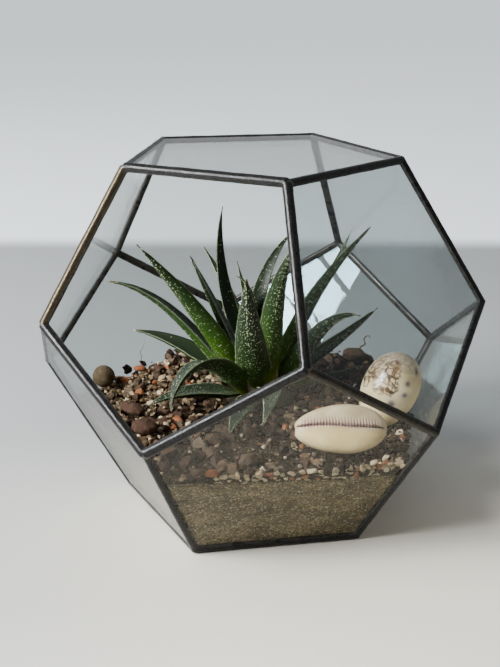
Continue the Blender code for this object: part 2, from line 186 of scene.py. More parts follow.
# Painted light: past the table's far edge the sheet takes the wall's tone and glows, though it is no lamp, so
# that the wall looks as bright as the lit table.
beyond = between(tree, away, TABLE_END - 0.035, TABLE_END + 0.04)
paint(tree, shader, Base_Color=mix(tree, beyond, far_tone, (0.66, 0.71, 0.74)))
paint(tree, shader, Emission_Color=(0.90, 0.97, 1.0), Emission_Strength=times(tree, beyond, 0.70))
relief(tree, shader, speckle(tree, where, 900, detail=3), 0.0001)

bm = bmesh.new()
bmesh.ops.create_grid(bm, x_segments=40, y_segments=40, size=SHEET_HALF)
table_mesh = bpy.data.meshes.new("table")
bm.to_mesh(table_mesh)
bm.free()
table_mesh.materials.append(table_finish)
table = link(bpy.data.objects.new("table", table_mesh))
table.location.z = -SHEET_DROP

# Daylight comes back from the pale ceiling and walls; the room behind the sitter is the darkest
room = bpy.data.worlds.new("room")
bpy.context.scene.world = room
room.use_nodes = True
tree = room.node_tree
ray = add(tree, "TexCoord").outputs["Generated"]
behind = between(tree, along_way(tree, ray, (0.44, -0.90, 0)), -0.1, 0.6)
up = between(tree, along_way(tree, ray, (0, 0, 1)), 0.0, 0.9)
walls = mix(tree, up, (0.88, 0.92, 0.96), (0.96, 0.97, 0.98))
give(tree, tree.nodes["Background"].inputs["Color"], mix(tree, behind, walls, (0.22, 0.22, 0.22)))
tree.nodes["Background"].inputs["Strength"].default_value = 0.52


def window(name, azimuth, elevation, distance, size, watts, colour):
    """An area light that faces the middle of the case from a direction, in degrees."""
    lamp = bpy.data.lights.new(name, "AREA")
    lamp.shape = "RECTANGLE"
    lamp.size, lamp.size_y = size
    lamp.energy = watts
    lamp.color = colour
    obj = link(bpy.data.objects.new(name, lamp))
    turn, rise = math.radians(azimuth), math.radians(elevation)
    way = Vector((math.cos(turn) * math.cos(rise), math.sin(turn) * math.cos(rise), math.sin(rise)))
    middle = Vector((0, 0, 0.11))
    obj.location = middle + way * distance
    obj.rotation_euler = way.to_track_quat("Z", "Y").to_euler()


window("window", -127.7, 30, 1.7, (0.62, 0.95), 112, (0.97, 0.99, 1.0))
window("side_window", 176, 32, 2.2, (1.1, 1.0), 14, (0.95, 0.98, 1.0))


# ---- The panes -----------------------------------------------------------------------------------
# Eleven pentagons of clear 2 mm window glass, cut by hand and edged with copper foil. Each carries a
# little dust, a few wipe marks and the faint green of plain glass.


def plus(tree, first, second):
    return maths(tree, "ADD", first, second)


def pane_finish(name, dust, tint, mirror_tone):
    """Plain glass: clear, with the mirror of both faces and a film of dust."""
    glass, tree, shader, where = new_finish(name, Base_Color=(0.62, 0.64, 0.62), Roughness=0.9)
    smear = speckle(tree, where, 22, detail=4, rough=0.6, warp=1.5)
    specks = speckle(tree, where, 1500, detail=1)
    film = times(tree, between(tree, smear, 0.35, 0.75), dust)
    film = plus(tree, film, between(tree, specks, 0.74, 0.82, 0.0, 0.12))
    film = plus(tree, film, dust * 0.4)
    behind = add(tree, "NewGeometry").outputs["Backfacing"]
    ior = plus(tree, 1.5, times(tree, behind, 1 / 1.5 - 1.5))
    mirror = add(tree, "BsdfAnisotropic", {"Color": mirror_tone, "Roughness": 0.0})
    clear = add(tree, "BsdfTransparent", {"Color": tint})
    bare = add(tree, "MixShader", {0: add(tree, "Fresnel", {"IOR": ior}).outputs[0]})
    tree.links.new(clear.outputs[0], bare.inputs[1])
    tree.links.new(mirror.outputs[0], bare.inputs[2])
    whole = add(tree, "MixShader", {0: film})
    tree.links.new(bare.outputs[0], whole.inputs[1])
    tree.links.new(shader.outputs[0], whole.inputs[2])
    tree.links.new(whole.outputs[0], tree.nodes["Material Output"].inputs["Surface"])
    return glass


def dress(mesh, finish):
    """Gives a mesh its real finish in place of any it has."""
    mesh.materials.clear()
    mesh.materials.append(finish)


# Each kind of pane: its dust, its tint, the tone of what it mirrors, and the panes that are so
GLASS_KINDS = [
    ("dusty", 0.006, (0.925, 0.935, 0.925), (0.32, 0.31, 0.30), ["pane_lower_1", "pane_base"]),
    ("clear", 0.003, (0.985, 0.992, 0.985), (1.0, 1.0, 1.0), ["pane_top", "pane_upper_4"]),
    ("back", 0.003, (0.850, 0.868, 0.868), (0.60, 0.62, 0.62), ["pane_upper_2", "pane_upper_3"]),
    ("grey", 0.004, (0.80, 0.825, 0.825), (0.42, 0.42, 0.42), ["pane_upper_1", "pane_lower_4"]),
    ("bright", 0.003, (0.81, 0.835, 0.83), (0.56, 0.84, 1.0), ["pane_lower_3"]),
    ("left", 0.020, (0.95, 0.96, 0.95), (0.64, 0.64, 0.63), ["pane_lower_5"]),
    ("side", 0.020, (0.97, 0.97, 0.95), (0.75, 0.74, 0.70), ["pane_lower_2"]),
]
for kind, dust, tint, mirror_tone, panes in GLASS_KINDS:
    glass = pane_finish(kind + "_window_glass", dust, tint, mirror_tone)
    for pane in panes:
        dress(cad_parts[pane].data, glass)


# ---- The lead work -------------------------------------------------------------------------------
# Copper foil folded round each pane's edge, with solder run along every fold inside and out, and then
# blackened with patina. The beads flow together at the corners and are rubbed brown where hands go.

PANE_INSET = 0.0015  # from a fold to the glass's cut edge
base_low, base_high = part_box("pane_base")
APOTHEM = base_high.y + PANE_INSET
EDGE = 2 * APOTHEM * math.tan(math.radians(36))
FOOT = (base_low.z + base_high.z) / 2
SMALL_RADIUS = EDGE / (2 * math.sin(math.radians(36)))
LARGE_RADIUS = SMALL_RADIUS * (1 + math.sqrt(5)) / 2
CENTRE = Vector((0, 0, FOOT + (SMALL_RADIUS + LARGE_RADIUS) / 2))


def corner(level, turn):
    """A corner of the case: on the base (B), the low or upper zigzag (L, U) or the top (T)."""
    radius, height, start = {
        "B": (SMALL_RADIUS, 0, -90),
        "L": (LARGE_RADIUS, SMALL_RADIUS, -90),
        "U": (LARGE_RADIUS, LARGE_RADIUS, -126),
        "T": (SMALL_RADIUS, SMALL_RADIUS + LARGE_RADIUS, -126),
    }[level]
    angle = math.radians(start + 72 * (turn % 5))
    return Vector((radius * math.cos(angle), radius * math.sin(angle), FOOT + height))


FOLDS = []
for k in range(5):
    FOLDS += [("B", k, "B", k + 1), ("T", k, "T", k + 1), ("B", k, "L", k), ("T", k, "U", k)]
    FOLDS += [("U", k, "L", k), ("L", k, "U", k + 1)]
DOORWAY_FOLDS = [("T", 0, "T", 1), ("L", 0, "U", 1), ("U", 0, "L", 0), ("T", 0, "U", 0), ("T", 1, "U", 1)]
BROWN_FOLDS = {("T", 0, "U", 0): 1.0, ("U", 1, "L", 1): 0.45, ("T", 1, "U", 1): 0.25}
FOLD_BEAD = [
    (0, 1.8), (1.0, 1.5), (1.9, 0.7), (2.75, -0.45), (2.6, -1.3), (2.0, -2.3), (1.1, -2.65), (0, -2.65),
    (-1.1, -2.65), (-2.0, -2.3), (-2.6, -1.3), (-2.75, -0.45), (-1.9, 0.7), (-1.0, 1.5),
]
DOORWAY_BEAD = [(3.0 * math.cos(a * math.pi / 8), 2.8 * math.sin(a * math.pi / 8)) for a in range(16)]


def bead(bm, start, end, section):
    """A run of solder between two corners, with its section in millimetres across and outward."""
    along = (end - start).normalized()
    outward = (start + end) / 2 - CENTRE
    outward = (outward - along * outward.dot(along)).normalized()
    across = along.cross(outward)
    loops = []
    for point in (start, end):
        loops.append([bm.verts.new(point + (across * a + outward * b) / 1000) for a, b in section])
    for i in range(len(section)):
        j = (i + 1) % len(section)
        bm.faces.new((loops[0][i], loops[0][j], loops[1][j], loops[1][i]))
    bm.faces.new(reversed(loops[0]))
    bm.faces.new(loops[1])


def with_modifier(obj, kind, **settings):
    """Adds a modifier to an object and works it into the mesh at once."""
    modifier = obj.modifiers.new(kind.lower(), kind)
    for name, value in settings.items():
        setattr(modifier, name, value)
    graph = bpy.context.evaluated_depsgraph_get()
    mesh = bpy.data.meshes.new_from_object(obj.evaluated_get(graph))
    obj.modifiers.clear()
    obj.data = mesh


def rows_of(items, name):
    """Three numbers of each item, such as a mesh's vertices or its normals, as rows."""
    found = np.empty(len(items) * 3, np.float32)
    items.foreach_get(name, found)
    return found.reshape(-1, 3).astype(float)


def points_and_normals(mesh):
    return rows_of(mesh.vertices, "co"), rows_of(mesh.vertex_normals, "vector")


def move_to(mesh, points):
    mesh.vertices.foreach_set("co", points.astype(np.float32).ravel())


def keep_values(mesh, **values):
    """Stores numbers for each vertex, or one for all, for the finish to read."""
    for name, numbers in values.items():
        kept = np.empty(len(mesh.vertices), np.float32)
        kept[:] = numbers
        mesh.attributes.new(name, "FLOAT", "POINT").data.foreach_set("value", kept)


CORNER_BALL = 0.0026  # the radius of the solder where folds meet
CORNER_SUNK = 0.0007
SOLDER_STEP = 0.0005  # how finely the beads are worked into one skin
RIPPLE = 0.00016  # the slow waves left by the iron
FINE_RIPPLE = 0.00007
bm = bmesh.new()
for fold in FOLDS:
    bead(bm, corner(*fold[:2]), corner(*fold[2:]), DOORWAY_BEAD if fold in DOORWAY_FOLDS else FOLD_BEAD)
for level in "BLUT":
    for k in range(5):
        swell = corner(level, k) - (corner(level, k) - CENTRE).normalized() * CORNER_SUNK
        bmesh.ops.create_icosphere(bm, subdivisions=2, radius=CORNER_BALL, matrix=Matrix.Translation(swell))
mesh = bpy.data.meshes.new("lead_work")
bm.to_mesh(mesh)
bm.free()
lead_work = link(bpy.data.objects.new("lead_work", mesh))
with_modifier(lead_work, "REMESH", mode="VOXEL", voxel_size=SOLDER_STEP, adaptivity=0.0)
with_modifier(lead_work, "SMOOTH", factor=0.5, iterations=5)
points, out = points_and_normals(lead_work.data)
flow = np.array([
    noise.noise(Vector(p) * 90) * RIPPLE + noise.noise(Vector(p) * 260) * FINE_RIPPLE for p in points
])
points = points + out * flow[:, None]
points[:, 2] = np.maximum(points[:, 2], cad_box[0][2])
move_to(lead_work.data, points)
with_modifier(lead_work, "DECIMATE", ratio=0.32)
lead_work.data.shade_smooth()

points, out = points_and_normals(lead_work.data)
nearest, brown = np.full(len(points), 1.0), np.zeros(len(points))
for fold in FOLDS:
    start, end = np.array(corner(*fold[:2])), np.array(corner(*fold[2:]))
    t = np.clip(((points - start) @ (end - start)) / ((end - start) @ (end - start)), 0, 1)
    away = np.linalg.norm(points - start - t[:, None] * (end - start), axis=1)
    closer = away < nearest
    nearest = np.where(closer, away, nearest)
    brown = np.where(closer, BROWN_FOLDS.get(fold, 0.12), brown)
outward = points - np.array(CENTRE)
outward /= np.linalg.norm(outward, axis=1)[:, None]
inner_side = np.clip(0.5 - (outward * out).sum(1) * 2.5, 0, 1)
keep_values(lead_work.data, rubbed=brown, inner_side=inner_side)


def stored(tree, name):
    return add(tree, "Attribute", attribute_name=name).outputs["Fac"]


def ramp(tree, value, *stops):
    """A colour for each value, from stops of (value, colour)."""
    made = add(tree, "ValToRGB", {0: value})
    while len(made.color_ramp.elements) < len(stops):
        made.color_ramp.elements.new(0.5)
    for element, (at, colour) in zip(made.color_ramp.elements, stops):
        element.position = at
        element.color = (*colour, 1)
    return made.outputs[0]


patina, tree, shader, where = new_finish("patina_on_solder", Metallic=0.55, Specular_IOR_Level=0.2)
blotches = speckle(tree, where, 130, detail=5, rough=0.6)
fine = speckle(tree, where, 900, detail=3)
rubbed = plus(tree, stored(tree, "rubbed"), times(tree, blotches, 0.5))
black = ramp(tree, fine, (0.3, (0.008, 0.008, 0.008)), (0.7, (0.024, 0.023, 0.023)))
bronze = ramp(tree, fine, (0.3, (0.024, 0.018, 0.010)), (0.7, (0.056, 0.043, 0.024)))
outside = mix(tree, between(tree, rubbed, 0.45, 1.05), black, bronze)
tinned = ramp(tree, blotches, (0.35, (0.050, 0.047, 0.043)), (0.65, (0.078, 0.073, 0.067)))
skin = mix(tree, stored(tree, "inner_side"), outside, tinned)
paint(tree, shader, Base_Color=skin, Roughness=between(tree, blotches, 0.3, 0.7, 0.22, 0.38))
relief(tree, shader, plus(tree, blotches, times(tree, fine, 0.15)), 0.00012)
lead_work.data.materials.append(patina)
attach(lead_work, "root")
seams = [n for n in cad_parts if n.endswith(("_ring", "_rim")) or "_strut_" in n or "_seam_" in n]
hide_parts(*seams)


# ---- The sand bed --------------------------------------------------------------------------------
# A deep bed of dry sandy compost, golden grey-brown with glittering grains, poured in layers and packed
# against the five lower panes. Its top runs down to the right, and slightly to the left.

INNER_FACE = APOTHEM - 0.00125  # from the axis to the glass's inner face, at the base seams' height
LEAN_OUT = 0.5  # how far a lower pane leans out for each metre up
PANE_TURNS = [math.radians(-54 + 72 * k) for k in range(5)]
PANE_WAYS = np.array([(math.cos(a), math.sin(a)) for a in PANE_TURNS])
SAND_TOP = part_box("sand_bed")[1].z
SAND_FALLS = (0.070, -0.030)
SAND_SUNK = 0.0008  # the mean level lies this far under the CAD bed's top
BASE_GLASS_TOP = FOOT + 0.0013
PLAN_HEIGHT = 0.05  # where a bed's outline is read, for the levels of its underside and top
STEPS_ROUND = 360


def inner_reach(turn, height):
    """From the axis to the glass, in one direction at one height."""
    distance = INNER_FACE + (height - FOOT) * LEAN_OUT
    return min(distance / math.cos(turn - a) for a in PANE_TURNS if math.cos(turn - a) > 0.5)


def uneven(x, y, scale, layer):
    return noise.noise(Vector((x * scale, y * scale, layer)))


def sand_line(x, y):
    """The height of the sand's top, uneven where the layers met."""
    slope = max(fall * x for fall in SAND_FALLS)
    return SAND_TOP - slope - SAND_SUNK + 0.0028 * uneven(x, y, 26, 3) + 0.0012 * uneven(x, y, 95, 8)


def mesh_of(name, points, faces, *finishes):
    """A smooth-shaded object from points and a list of faces."""
    mesh = bpy.data.meshes.new(name)
    mesh.from_pydata(np.asarray(points).tolist(), [], faces)
    mesh.shade_smooth()
    for finish in finishes:
        mesh.materials.append(finish)
    return link(bpy.data.objects.new(name, mesh))


def ring_faces(rings, per_ring):
    """The four-sided faces between rings of points that follow one another."""
    start = np.arange(rings - 1)[:, None] * per_ring
    here = np.arange(per_ring)[None]
    after = (here + 1) % per_ring
    corners = [start + here, start + after, start + per_ring + after, start + per_ring + here]
    return np.stack(corners, -1).reshape(-1, 4)


def tub(name, finish, low, high, lump, steps_up, top_lump):
    """A heap that fills the case from one height to another: a lumpy wall and a lumpy top."""
    rows = []
    for up in range(steps_up + 1):
        row = []
        for step in range(STEPS_ROUND):
            turn = 2 * math.pi * step / STEPS_ROUND
            reach = inner_reach(turn, PLAN_HEIGHT)
            x, y = math.cos(turn) * reach, math.sin(turn) * reach
            bottom, top = low(x, y), high(x, y)
            z = bottom + (top - bottom) * up / steps_up
            reach = inner_reach(turn, z)
            spot = Vector((math.cos(turn) * reach, math.sin(turn) * reach, z))
            back = lump * (0.5 + 0.5 * noise.noise(spot * 300)) + lump * abs(noise.noise(spot * 90))
            row.append(spot * (1 - back / reach) if up else spot)
            row[-1].z = z
        rows.append(row)
    edge = rows[-1]
    for share in (0.985, 0.96, *np.linspace(0.93, 0.02, 50)):
        row = []
        for point in edge:
            x, y = point.x * share, point.y * share
            z = high(x, y) + top_lump * noise.noise(Vector((x, y, 0)) * 160)
            z += 0.6 * top_lump * noise.noise(Vector((x, y, 1)) * 420)
            row.append(Vector((x, y, z)))
        rows.append(row)
    points = [p for row in rows for p in row]
    return mesh_of(name, points, ring_faces(len(rows), STEPS_ROUND).tolist(), finish)


def grains(tree, where, size):
    """Cells of about this size in metres: (how far from a cell's middle, the cell's own colour)."""
    cells = add(tree, "TexVoronoi", {"Vector": where, "Scale": 1 / size})
    return cells.outputs["Distance"], cells.outputs["Color"]


sand, tree, shader, where = new_finish("sandy_compost", Roughness=0.85, Specular_IOR_Level=0.2)
flat = add(tree, "Mapping", {"Vector": where, "Scale": (1, 1, 3.4)}).outputs[0]
layers = speckle(tree, flat, 30, detail=6, rough=0.68, warp=1.1)
near, cell = grains(tree, where, 0.00075)
pick = add(tree, "SeparateColor", {0: cell})
ground = ramp(
    tree, layers, (0.32, (0.062, 0.043, 0.023)), (0.46, (0.150, 0.112, 0.060)),
    (0.58, (0.230, 0.175, 0.094)), (0.70, (0.330, 0.258, 0.145)),
)
shade = ramp(
    tree, pick.outputs[0], (0.0, (0.22, 0.21, 0.19)), (0.55, (1.0, 1.0, 1.0)), (1.0, (1.9, 1.85, 1.6))
)
tone = mix(tree, 1.0, ground, shade, "MULTIPLY")
glitter = between(tree, pick.outputs[1], 0.90, 0.94)
tone = mix(tree, times(tree, glitter, 0.75), tone, (0.66, 0.56, 0.33))
rust = between(tree, pick.outputs[2], 0.965, 0.975)
tone = mix(tree, times(tree, rust, 0.7), tone, (0.36, 0.13, 0.05))
paint(tree, shader, Base_Color=tone, Roughness=between(tree, glitter, 0, 1, 0.85, 0.35))
relief(tree, shader, plus(tree, near, times(tree, layers, 4.0)), 0.0009)
sand_bed = tub("sand_bed_skin", sand, lambda x, y: BASE_GLASS_TOP, sand_line, 0.0002, 40, 0.001)
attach(sand_bed, "root")
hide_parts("sand_bed")


# ---- The gravel bed ------------------------------------------------------------------------------
# Dark compost at the bottom, mixed with and covered by loose stones: brown and purple-brown pebbles,
# tan and cream chips, broken terracotta, bits of bark and a fine pale grit, up to 14 mm across.

GRAVEL_TOP = 0.0690  # on the axis; the top rises to the back and falls to the right and the left
GRAVEL_FALLS = ((0.050, -0.030), (-0.020, -0.030))
SOIL_DEPTH = 0.0035  # from the stones' tops to the compost under them
SOIL_OVERLAP = 0.0012  # how far the compost reaches down into the sand
GLASS_GAP = 0.00015


def gravel_top(x, y):
    return GRAVEL_TOP - max(a * x + b * y for a, b in GRAVEL_FALLS)


def soil_top(x, y):
    return gravel_top(x, y) - SOIL_DEPTH + 0.0016 * uneven(x, y, 45, 9)


compost, tree, shader, where = new_finish("dark_compost", Roughness=0.95, Specular_IOR_Level=0.1)
clods = speckle(tree, where, 190, detail=5, rough=0.65)
near, cell = grains(tree, where, 0.0011)
pick = add(tree, "SeparateColor", {0: cell})
ground = ramp(
    tree, clods, (0.35, (0.010, 0.006, 0.003)), (0.55, (0.034, 0.021, 0.011)), (0.7, (0.080, 0.050, 0.027))
)
tone = mix(tree, between(tree, pick.outputs[0], 0.80, 0.95, 0, 0.6), ground, (0.115, 0.080, 0.045))
tone = mix(tree, between(tree, pick.outputs[1], 0.965, 0.985, 0, 0.8), tone, (0.300, 0.250, 0.170))
paint(tree, shader, Base_Color=tone)
relief(tree, shader, plus(tree, clods, times(tree, near, 0.5)), 0.0024)
soil = tub("compost", compost, lambda x, y: sand_line(x, y) - SOIL_OVERLAP, soil_top, 0.0007, 12, 0.0016)
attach(soil, "root")


def pebble(seed, fineness, cuts, dents):
    """A unit stone, as (points, triangles): a ball knocked flat here and there, and dented."""
    chance = random.Random(seed)
    bm = bmesh.new()
    bmesh.ops.create_icosphere(bm, subdivisions=fineness, radius=1)
    points = np.array([v.co[:] for v in bm.verts])
    faces = np.array([[v.index for v in f.verts] for f in bm.faces])
    bm.free()
    for _ in range(cuts):
        way = np.array(Vector([chance.gauss(0, 1) for _ in range(3)]).normalized())
        over = points @ way - chance.uniform(0.38, 0.80)
        points = points - np.outer(np.maximum(over, 0) * 0.92, way)
    swell = [1 + dents * noise.noise(Vector(p) * 1.7 + Vector((seed, 0, 0))) for p in points]
    points = points * np.array(swell)[:, None]
    points -= (points.min(0) + points.max(0)) / 2
    return points / np.abs(points).max(0), faces


STONE_KINDS = {
    "pebbles": [pebble(s, 3, 7, 0.40) for s in range(6)] + [pebble(s, 3, 14, 0.35) for s in range(6, 16)],
    "chips": [pebble(s, 2, 11, 0.35) for s in range(20, 34)],
    "terracotta": [pebble(s, 2, 12, 0.25) for s in range(40, 48)],
    "bark": [pebble(s, 2, 10, 0.6) for s in range(50, 58)],
    "grit": [pebble(s, 2, 9, 0.35) for s in range(60, 72)],
}
heap = {kind: [] for kind in STONE_KINDS}
chance = random.Random(7)


def press_to_glass(points):
    """Keeps points inside the glass, flattened on it where they would pass through."""
    for way in PANE_WAYS:
        steep = math.sqrt(1 + LEAN_OUT**2)
        lean = np.array((way[0], way[1], -LEAN_OUT)) / steep
        over = points @ lean - (INNER_FACE - FOOT * LEAN_OUT - GLASS_GAP) / steep
        points = points - np.outer(np.maximum(over, 0), lean)
    return points


def put_stone(kind, centre, sizes, tilt=0.35, turn=None, tone=None):
    """Lays one stone, with its length, width and height in metres."""
    points, faces = chance.choice(STONE_KINDS[kind])
    spin = chance.uniform(0, 2 * math.pi) if turn is None else turn
    pose = Matrix.Rotation(spin, 3, "Z") @ Matrix.Rotation(chance.gauss(0, tilt), 3, "X")
    pose = pose @ Matrix.Rotation(chance.gauss(0, tilt), 3, "Y")
    placed = (points * np.array(sizes) / 2) @ np.array(pose).T + np.array(centre)
    heap[kind].append((press_to_glass(placed), faces, chance.random() if tone is None else tone))


# Where the mix changes: a place, its reach, and the shares of pebbles, chips, broken pot, bark, grit
# and bare soil there
PATCHES = [
    ((-0.030, -0.075), 0.042, (7, 5, 1.2, 2.0, 0.6, 0)),
    ((-0.078, -0.045), 0.035, (4.5, 8, 1.2, 1.2, 1.5, 0)),
    ((-0.085, 0.005), 0.035, (2.2, 9, 1.4, 1.0, 3, 0)),
    ((-0.055, 0.050), 0.032, (0.6, 8.0, 0.5, 1.2, 7, 0)),
    ((-0.010, 0.080), 0.040, (2, 2, 0.5, 3, 2, 0)),
    ((0.040, 0.075), 0.035, (8, 0.3, 0.8, 5, 0.3, 0)),
    ((0.020, -0.075), 0.040, (1.3, 0.15, 0.2, 3, 0.3, 8)),
    ((0.060, -0.060), 0.030, (0.8, 0.5, 0.4, 3, 0.6, 6)),
    ((0.105, -0.020), 0.022, (0.5, 5.0, 2.0, 2, 1.5, 0)),
    ((0.095, 0.030), 0.035, (0.5, 2.5, 0.5, 2.5, 2, 1)),
    ((0.000, -0.020), 0.040, (2, 0.6, 0.4, 4, 0.4, 3)),
]
# The least and greatest length of each kind in millimetres, and how high they are for their length
STONE_SIZES = {
    "pebbles": (6, 14), "chips": (2.8, 6.8), "terracotta": (3.0, 8), "bark": (3, 8), "grit": (1.5, 3.0),
}
STONE_HEIGHTS = {"pebbles": 0.72, "chips": 0.62, "terracotta": 0.5, "bark": 0.4, "grit": 0.8}


def mix_at(x, y):
    """How much of each kind lies here."""
    shares = dict.fromkeys([*STONE_KINDS, "bare"], 0.0)
    for (px, py), wide, amounts in PATCHES:
        pull = math.exp(-((x - px) ** 2 + (y - py) ** 2) / (wide * 0.6) ** 2)
        for kind, amount in zip(shares, amounts):
            shares[kind] += amount * pull
    return shares


# The heap's height so far, kept on a square grid
CELL = 0.001
HALF = 125  # cells from the axis to the grid's edge
steps = (np.arange(2 * HALF) - HALF + 0.5) * CELL
grid_x, grid_y = np.meshgrid(steps, steps, indexing="ij")
level = np.array([[soil_top(x, y) for y in steps] for x in steps])

SOLID_ENDS = ("cowrie", "stone", "pebble", "_chip", "_and_roots")
solid_things = [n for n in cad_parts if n.startswith("leaf_") or n.endswith(SOLID_ENDS)]
walls_points, walls_faces = [], []
for name in solid_things:
    first = len(walls_points)
    walls_points += [v.co.copy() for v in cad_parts[name].data.vertices]
    walls_faces += [[first + i for i in p.vertices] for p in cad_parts[name].data.polygons]
solids = BVHTree.FromPolygons(walls_points, walls_faces)

GLASS_LINE = 0.060  # the height at which the bed's stones meet the glass
THROW_LINE = 0.062  # the height at which the glass bounds where stones are thrown
SETTLED = 0.36  # a stone's middle over what it rests on, for its height
FOOTPRINT = 0.42  # half the width of what a stone rests on, for its length
CLEARANCE = 0.46  # from a stone's middle to a leaf or a shell, for its length
CROWDING = 2.2  # how readily a throw lands, where the mix has more of its kind


def drop_stone(kind, x, y, size, ceiling, tone=None):
    """Drops a stone on the heap, unless it would hit a leaf or a shell or stand too high."""
    sizes = (size, size * chance.uniform(0.6, 0.95), size * STONE_HEIGHTS[kind] * chance.uniform(0.75, 1.1))
    wide = size * FOOTPRINT
    if math.hypot(x, y) + wide * 0.7 > inner_reach(math.atan2(y, x), GLASS_LINE):
        return
    i, j = round(x / CELL) + HALF, round(y / CELL) + HALF
    n = max(1, math.ceil(wide / CELL))
    area = (slice(i - n, i + n + 1), slice(j - n, j + n + 1))
    away = np.hypot(grid_x[area] - x, grid_y[area] - y) / wide
    under = away < 1
    if not under.any():
        return
    z = np.percentile(level[area][under], 60) + sizes[2] * SETTLED
    if z + sizes[2] / 2 > gravel_top(x, y) + ceiling:
        return
    if solids.find_nearest(Vector((x, y, z)), size * CLEARANCE)[0] is not None:
        return
    put_stone(kind, (x, y, z), sizes, tone=tone)
    crown = z + sizes[2] / 2 * np.sqrt(np.maximum(0, 1 - away**2)) * 0.9
    level[area] = np.where(under, np.maximum(level[area], crown), level[area])


def scatter(kind, tries, ceiling, small=0.0, large=1.0):
    """Drops stones of one kind all over the bed, more of them where the mix has more."""
    low, high = STONE_SIZES[kind]
    for _ in range(tries):
        turn, away = chance.uniform(-math.pi, math.pi), math.sqrt(chance.random())
        reach = inner_reach(turn, THROW_LINE) * away
        x, y = math.cos(turn) * reach, math.sin(turn) * reach
        shares = mix_at(x, y)
        if chance.random() > shares[kind] / (sum(shares.values()) + 1e-9) * CROWDING:
            continue
        share = small + (large - small) * chance.random() ** 1.5
        drop_stone(kind, x, y, (low + (high - low) * share) / 1000, ceiling)


# The stones that catch the eye: kind, place and length in millimetres, and tone
for kind, x, y, size, tone in (
    ("pebbles", -34, -56, 14, 0.24), ("pebbles", -16, -60, 12, 0.52), ("pebbles", -24, -76, 9, 0.05),
    ("pebbles", -86, -48, 9, 0.62), ("pebbles", -50, -84, 11, 0.30), ("pebbles", -66, -72, 9, 0.42),
    ("bark", -94, -5, 9, 0.30), ("terracotta", -76, 2, 7, 0.55), ("terracotta", -95, 7, 7, 0.40),
    ("terracotta", -66, -29, 7.5, 0.30), ("terracotta", -75, -52, 5.5, 0.95),
    ("terracotta", -31, -91, 6, 0.85), ("chips", -85, -14, 6.5, 0.95), ("chips", -27, -83, 5, 0.95),
    ("chips", -64, -19, 6, 1.0), ("chips", -77, -34, 5.5, 0.80), ("pebbles", 28, 92, 9, 0.10),
    ("pebbles", 41, 93, 12, 0.42), ("pebbles", 54, 88, 11, 0.10), ("terracotta", 33, 76, 7, 0.10),
    ("pebbles", 38, 60, 14, 0.00), ("pebbles", 47, 72, 13, 0.05), ("bark", 30, 84, 12, 0.60),
    ("chips", 68, 62, 5, 0.75),
):
    drop_stone(kind, x / 1000, y / 1000, size / 1000, 0.012, tone)
scatter("pebbles", 420, 0.0050, 0.3)
scatter("pebbles", 700, 0.0040, 0.0, 0.5)
scatter("bark", 700, 0.0030)
scatter("chips", 900, 0.0042)
scatter("terracotta", 500, 0.0045)
scatter("grit", 2600, 0.0030)
scatter("chips", 700, 0.0050, 0, 0.5)
scatter("grit", 2200, 0.0035)
# A mound of small stuff at the back left
MOUND = (-0.060, 0.045)
MOUND_SPREAD = 0.020
for _ in range(420):
    kind = chance.choice(("chips", "chips", "grit", "grit", "pebbles", "bark"))
    low, high = STONE_SIZES[kind]
    size = chance.uniform(low, (low + high) / 2) / 1000
    x, y = (chance.gauss(middle, MOUND_SPREAD) for middle in MOUND)
    drop_stone(kind, x, y, size, 0.0075)


def along_glass(pane, across, height, inward):
    """A place by a lower pane: across it from its middle, at a height, and in from the glass."""
    way = PANE_WAYS[pane]
    distance = INNER_FACE + (height - FOOT) * LEAN_OUT - inward
    return (way[0] * distance - way[1] * across, way[1] * distance + way[0] * across, height)


bedded = []


def bed_stone(kind, pane, across, height, size, thin=0.6, tone=None, room=0.42):
    """Beds a stone in the compost against the glass, clear of the ones already there."""
    inward = size * 0.32
    centre = np.array(along_glass(pane, across, height, inward))
    if any(np.linalg.norm(centre - c) < room * (size + s) for c, s in bedded):
        return
    if solids.find_nearest(Vector(centre), size * 0.45)[0] is not None:
        return
    bedded.append((centre, size))
    sizes = (size, size * chance.uniform(0.6, 0.9), size * thin * chance.uniform(0.8, 1.2))
    turn = PANE_TURNS[pane] + math.pi / 2 + chance.gauss(0, 0.3)
    put_stone(kind, centre, sizes, 0.5, turn, tone)


# The settled line of pale flakes and broken pot, where the stones first met the sand
bed_stone("terracotta", 0, -0.042, 0.0655, 0.0090, 0.55, 0.55)
bed_stone("terracotta", 0, -0.010, 0.0615, 0.0055, 0.6, 0.35)
for _ in range(190):
    across = chance.uniform(-0.041, 0.058)
    x, y = along_glass(0, across, 0.058, 0)[:2]
    heaped = max(0.0, across - 0.034) / 0.024
    size = chance.uniform(3.4, 6.6) / 1000 * (1 + 0.35 * heaped)
    kind = "terracotta" if chance.random() < 0.12 + 0.15 * heaped else "chips"
    rise = chance.uniform(0.0008, 0.0066) + heaped * chance.uniform(0, 0.010)
    bed_stone(kind, 0, across, sand_line(x, y) + rise, size, 0.6, chance.uniform(0.66, 1.0), 0.30)
for pane in range(5):
    for kind, tries, low, high in (
        ("pebbles", 9 if pane == 0 else 14, 7, 12), ("terracotta", 1 if pane == 0 else 4, 4, 7),
        ("chips", 2 if pane == 0 else 8, 2.5, 4.5), ("bark", 120, 3, 9), ("grit", 16, 1.5, 2.4),
    ):
        for _ in range(tries):
            across = chance.uniform(-0.062, 0.062)
            x, y = along_glass(pane, across, 0.06, 0)[:2]
            bottom, top = sand_line(x, y) + (0.0045 if pane == 0 else 0), gravel_top(x, y)
            size = chance.uniform(low, high) / 1000
            tone = chance.uniform(0, 0.60) if kind in ("pebbles", "grit") else None
            spot = bottom + size * 0.3 + (top - bottom) * chance.random()
            bed_stone(kind, pane, across, spot, size, tone=tone)


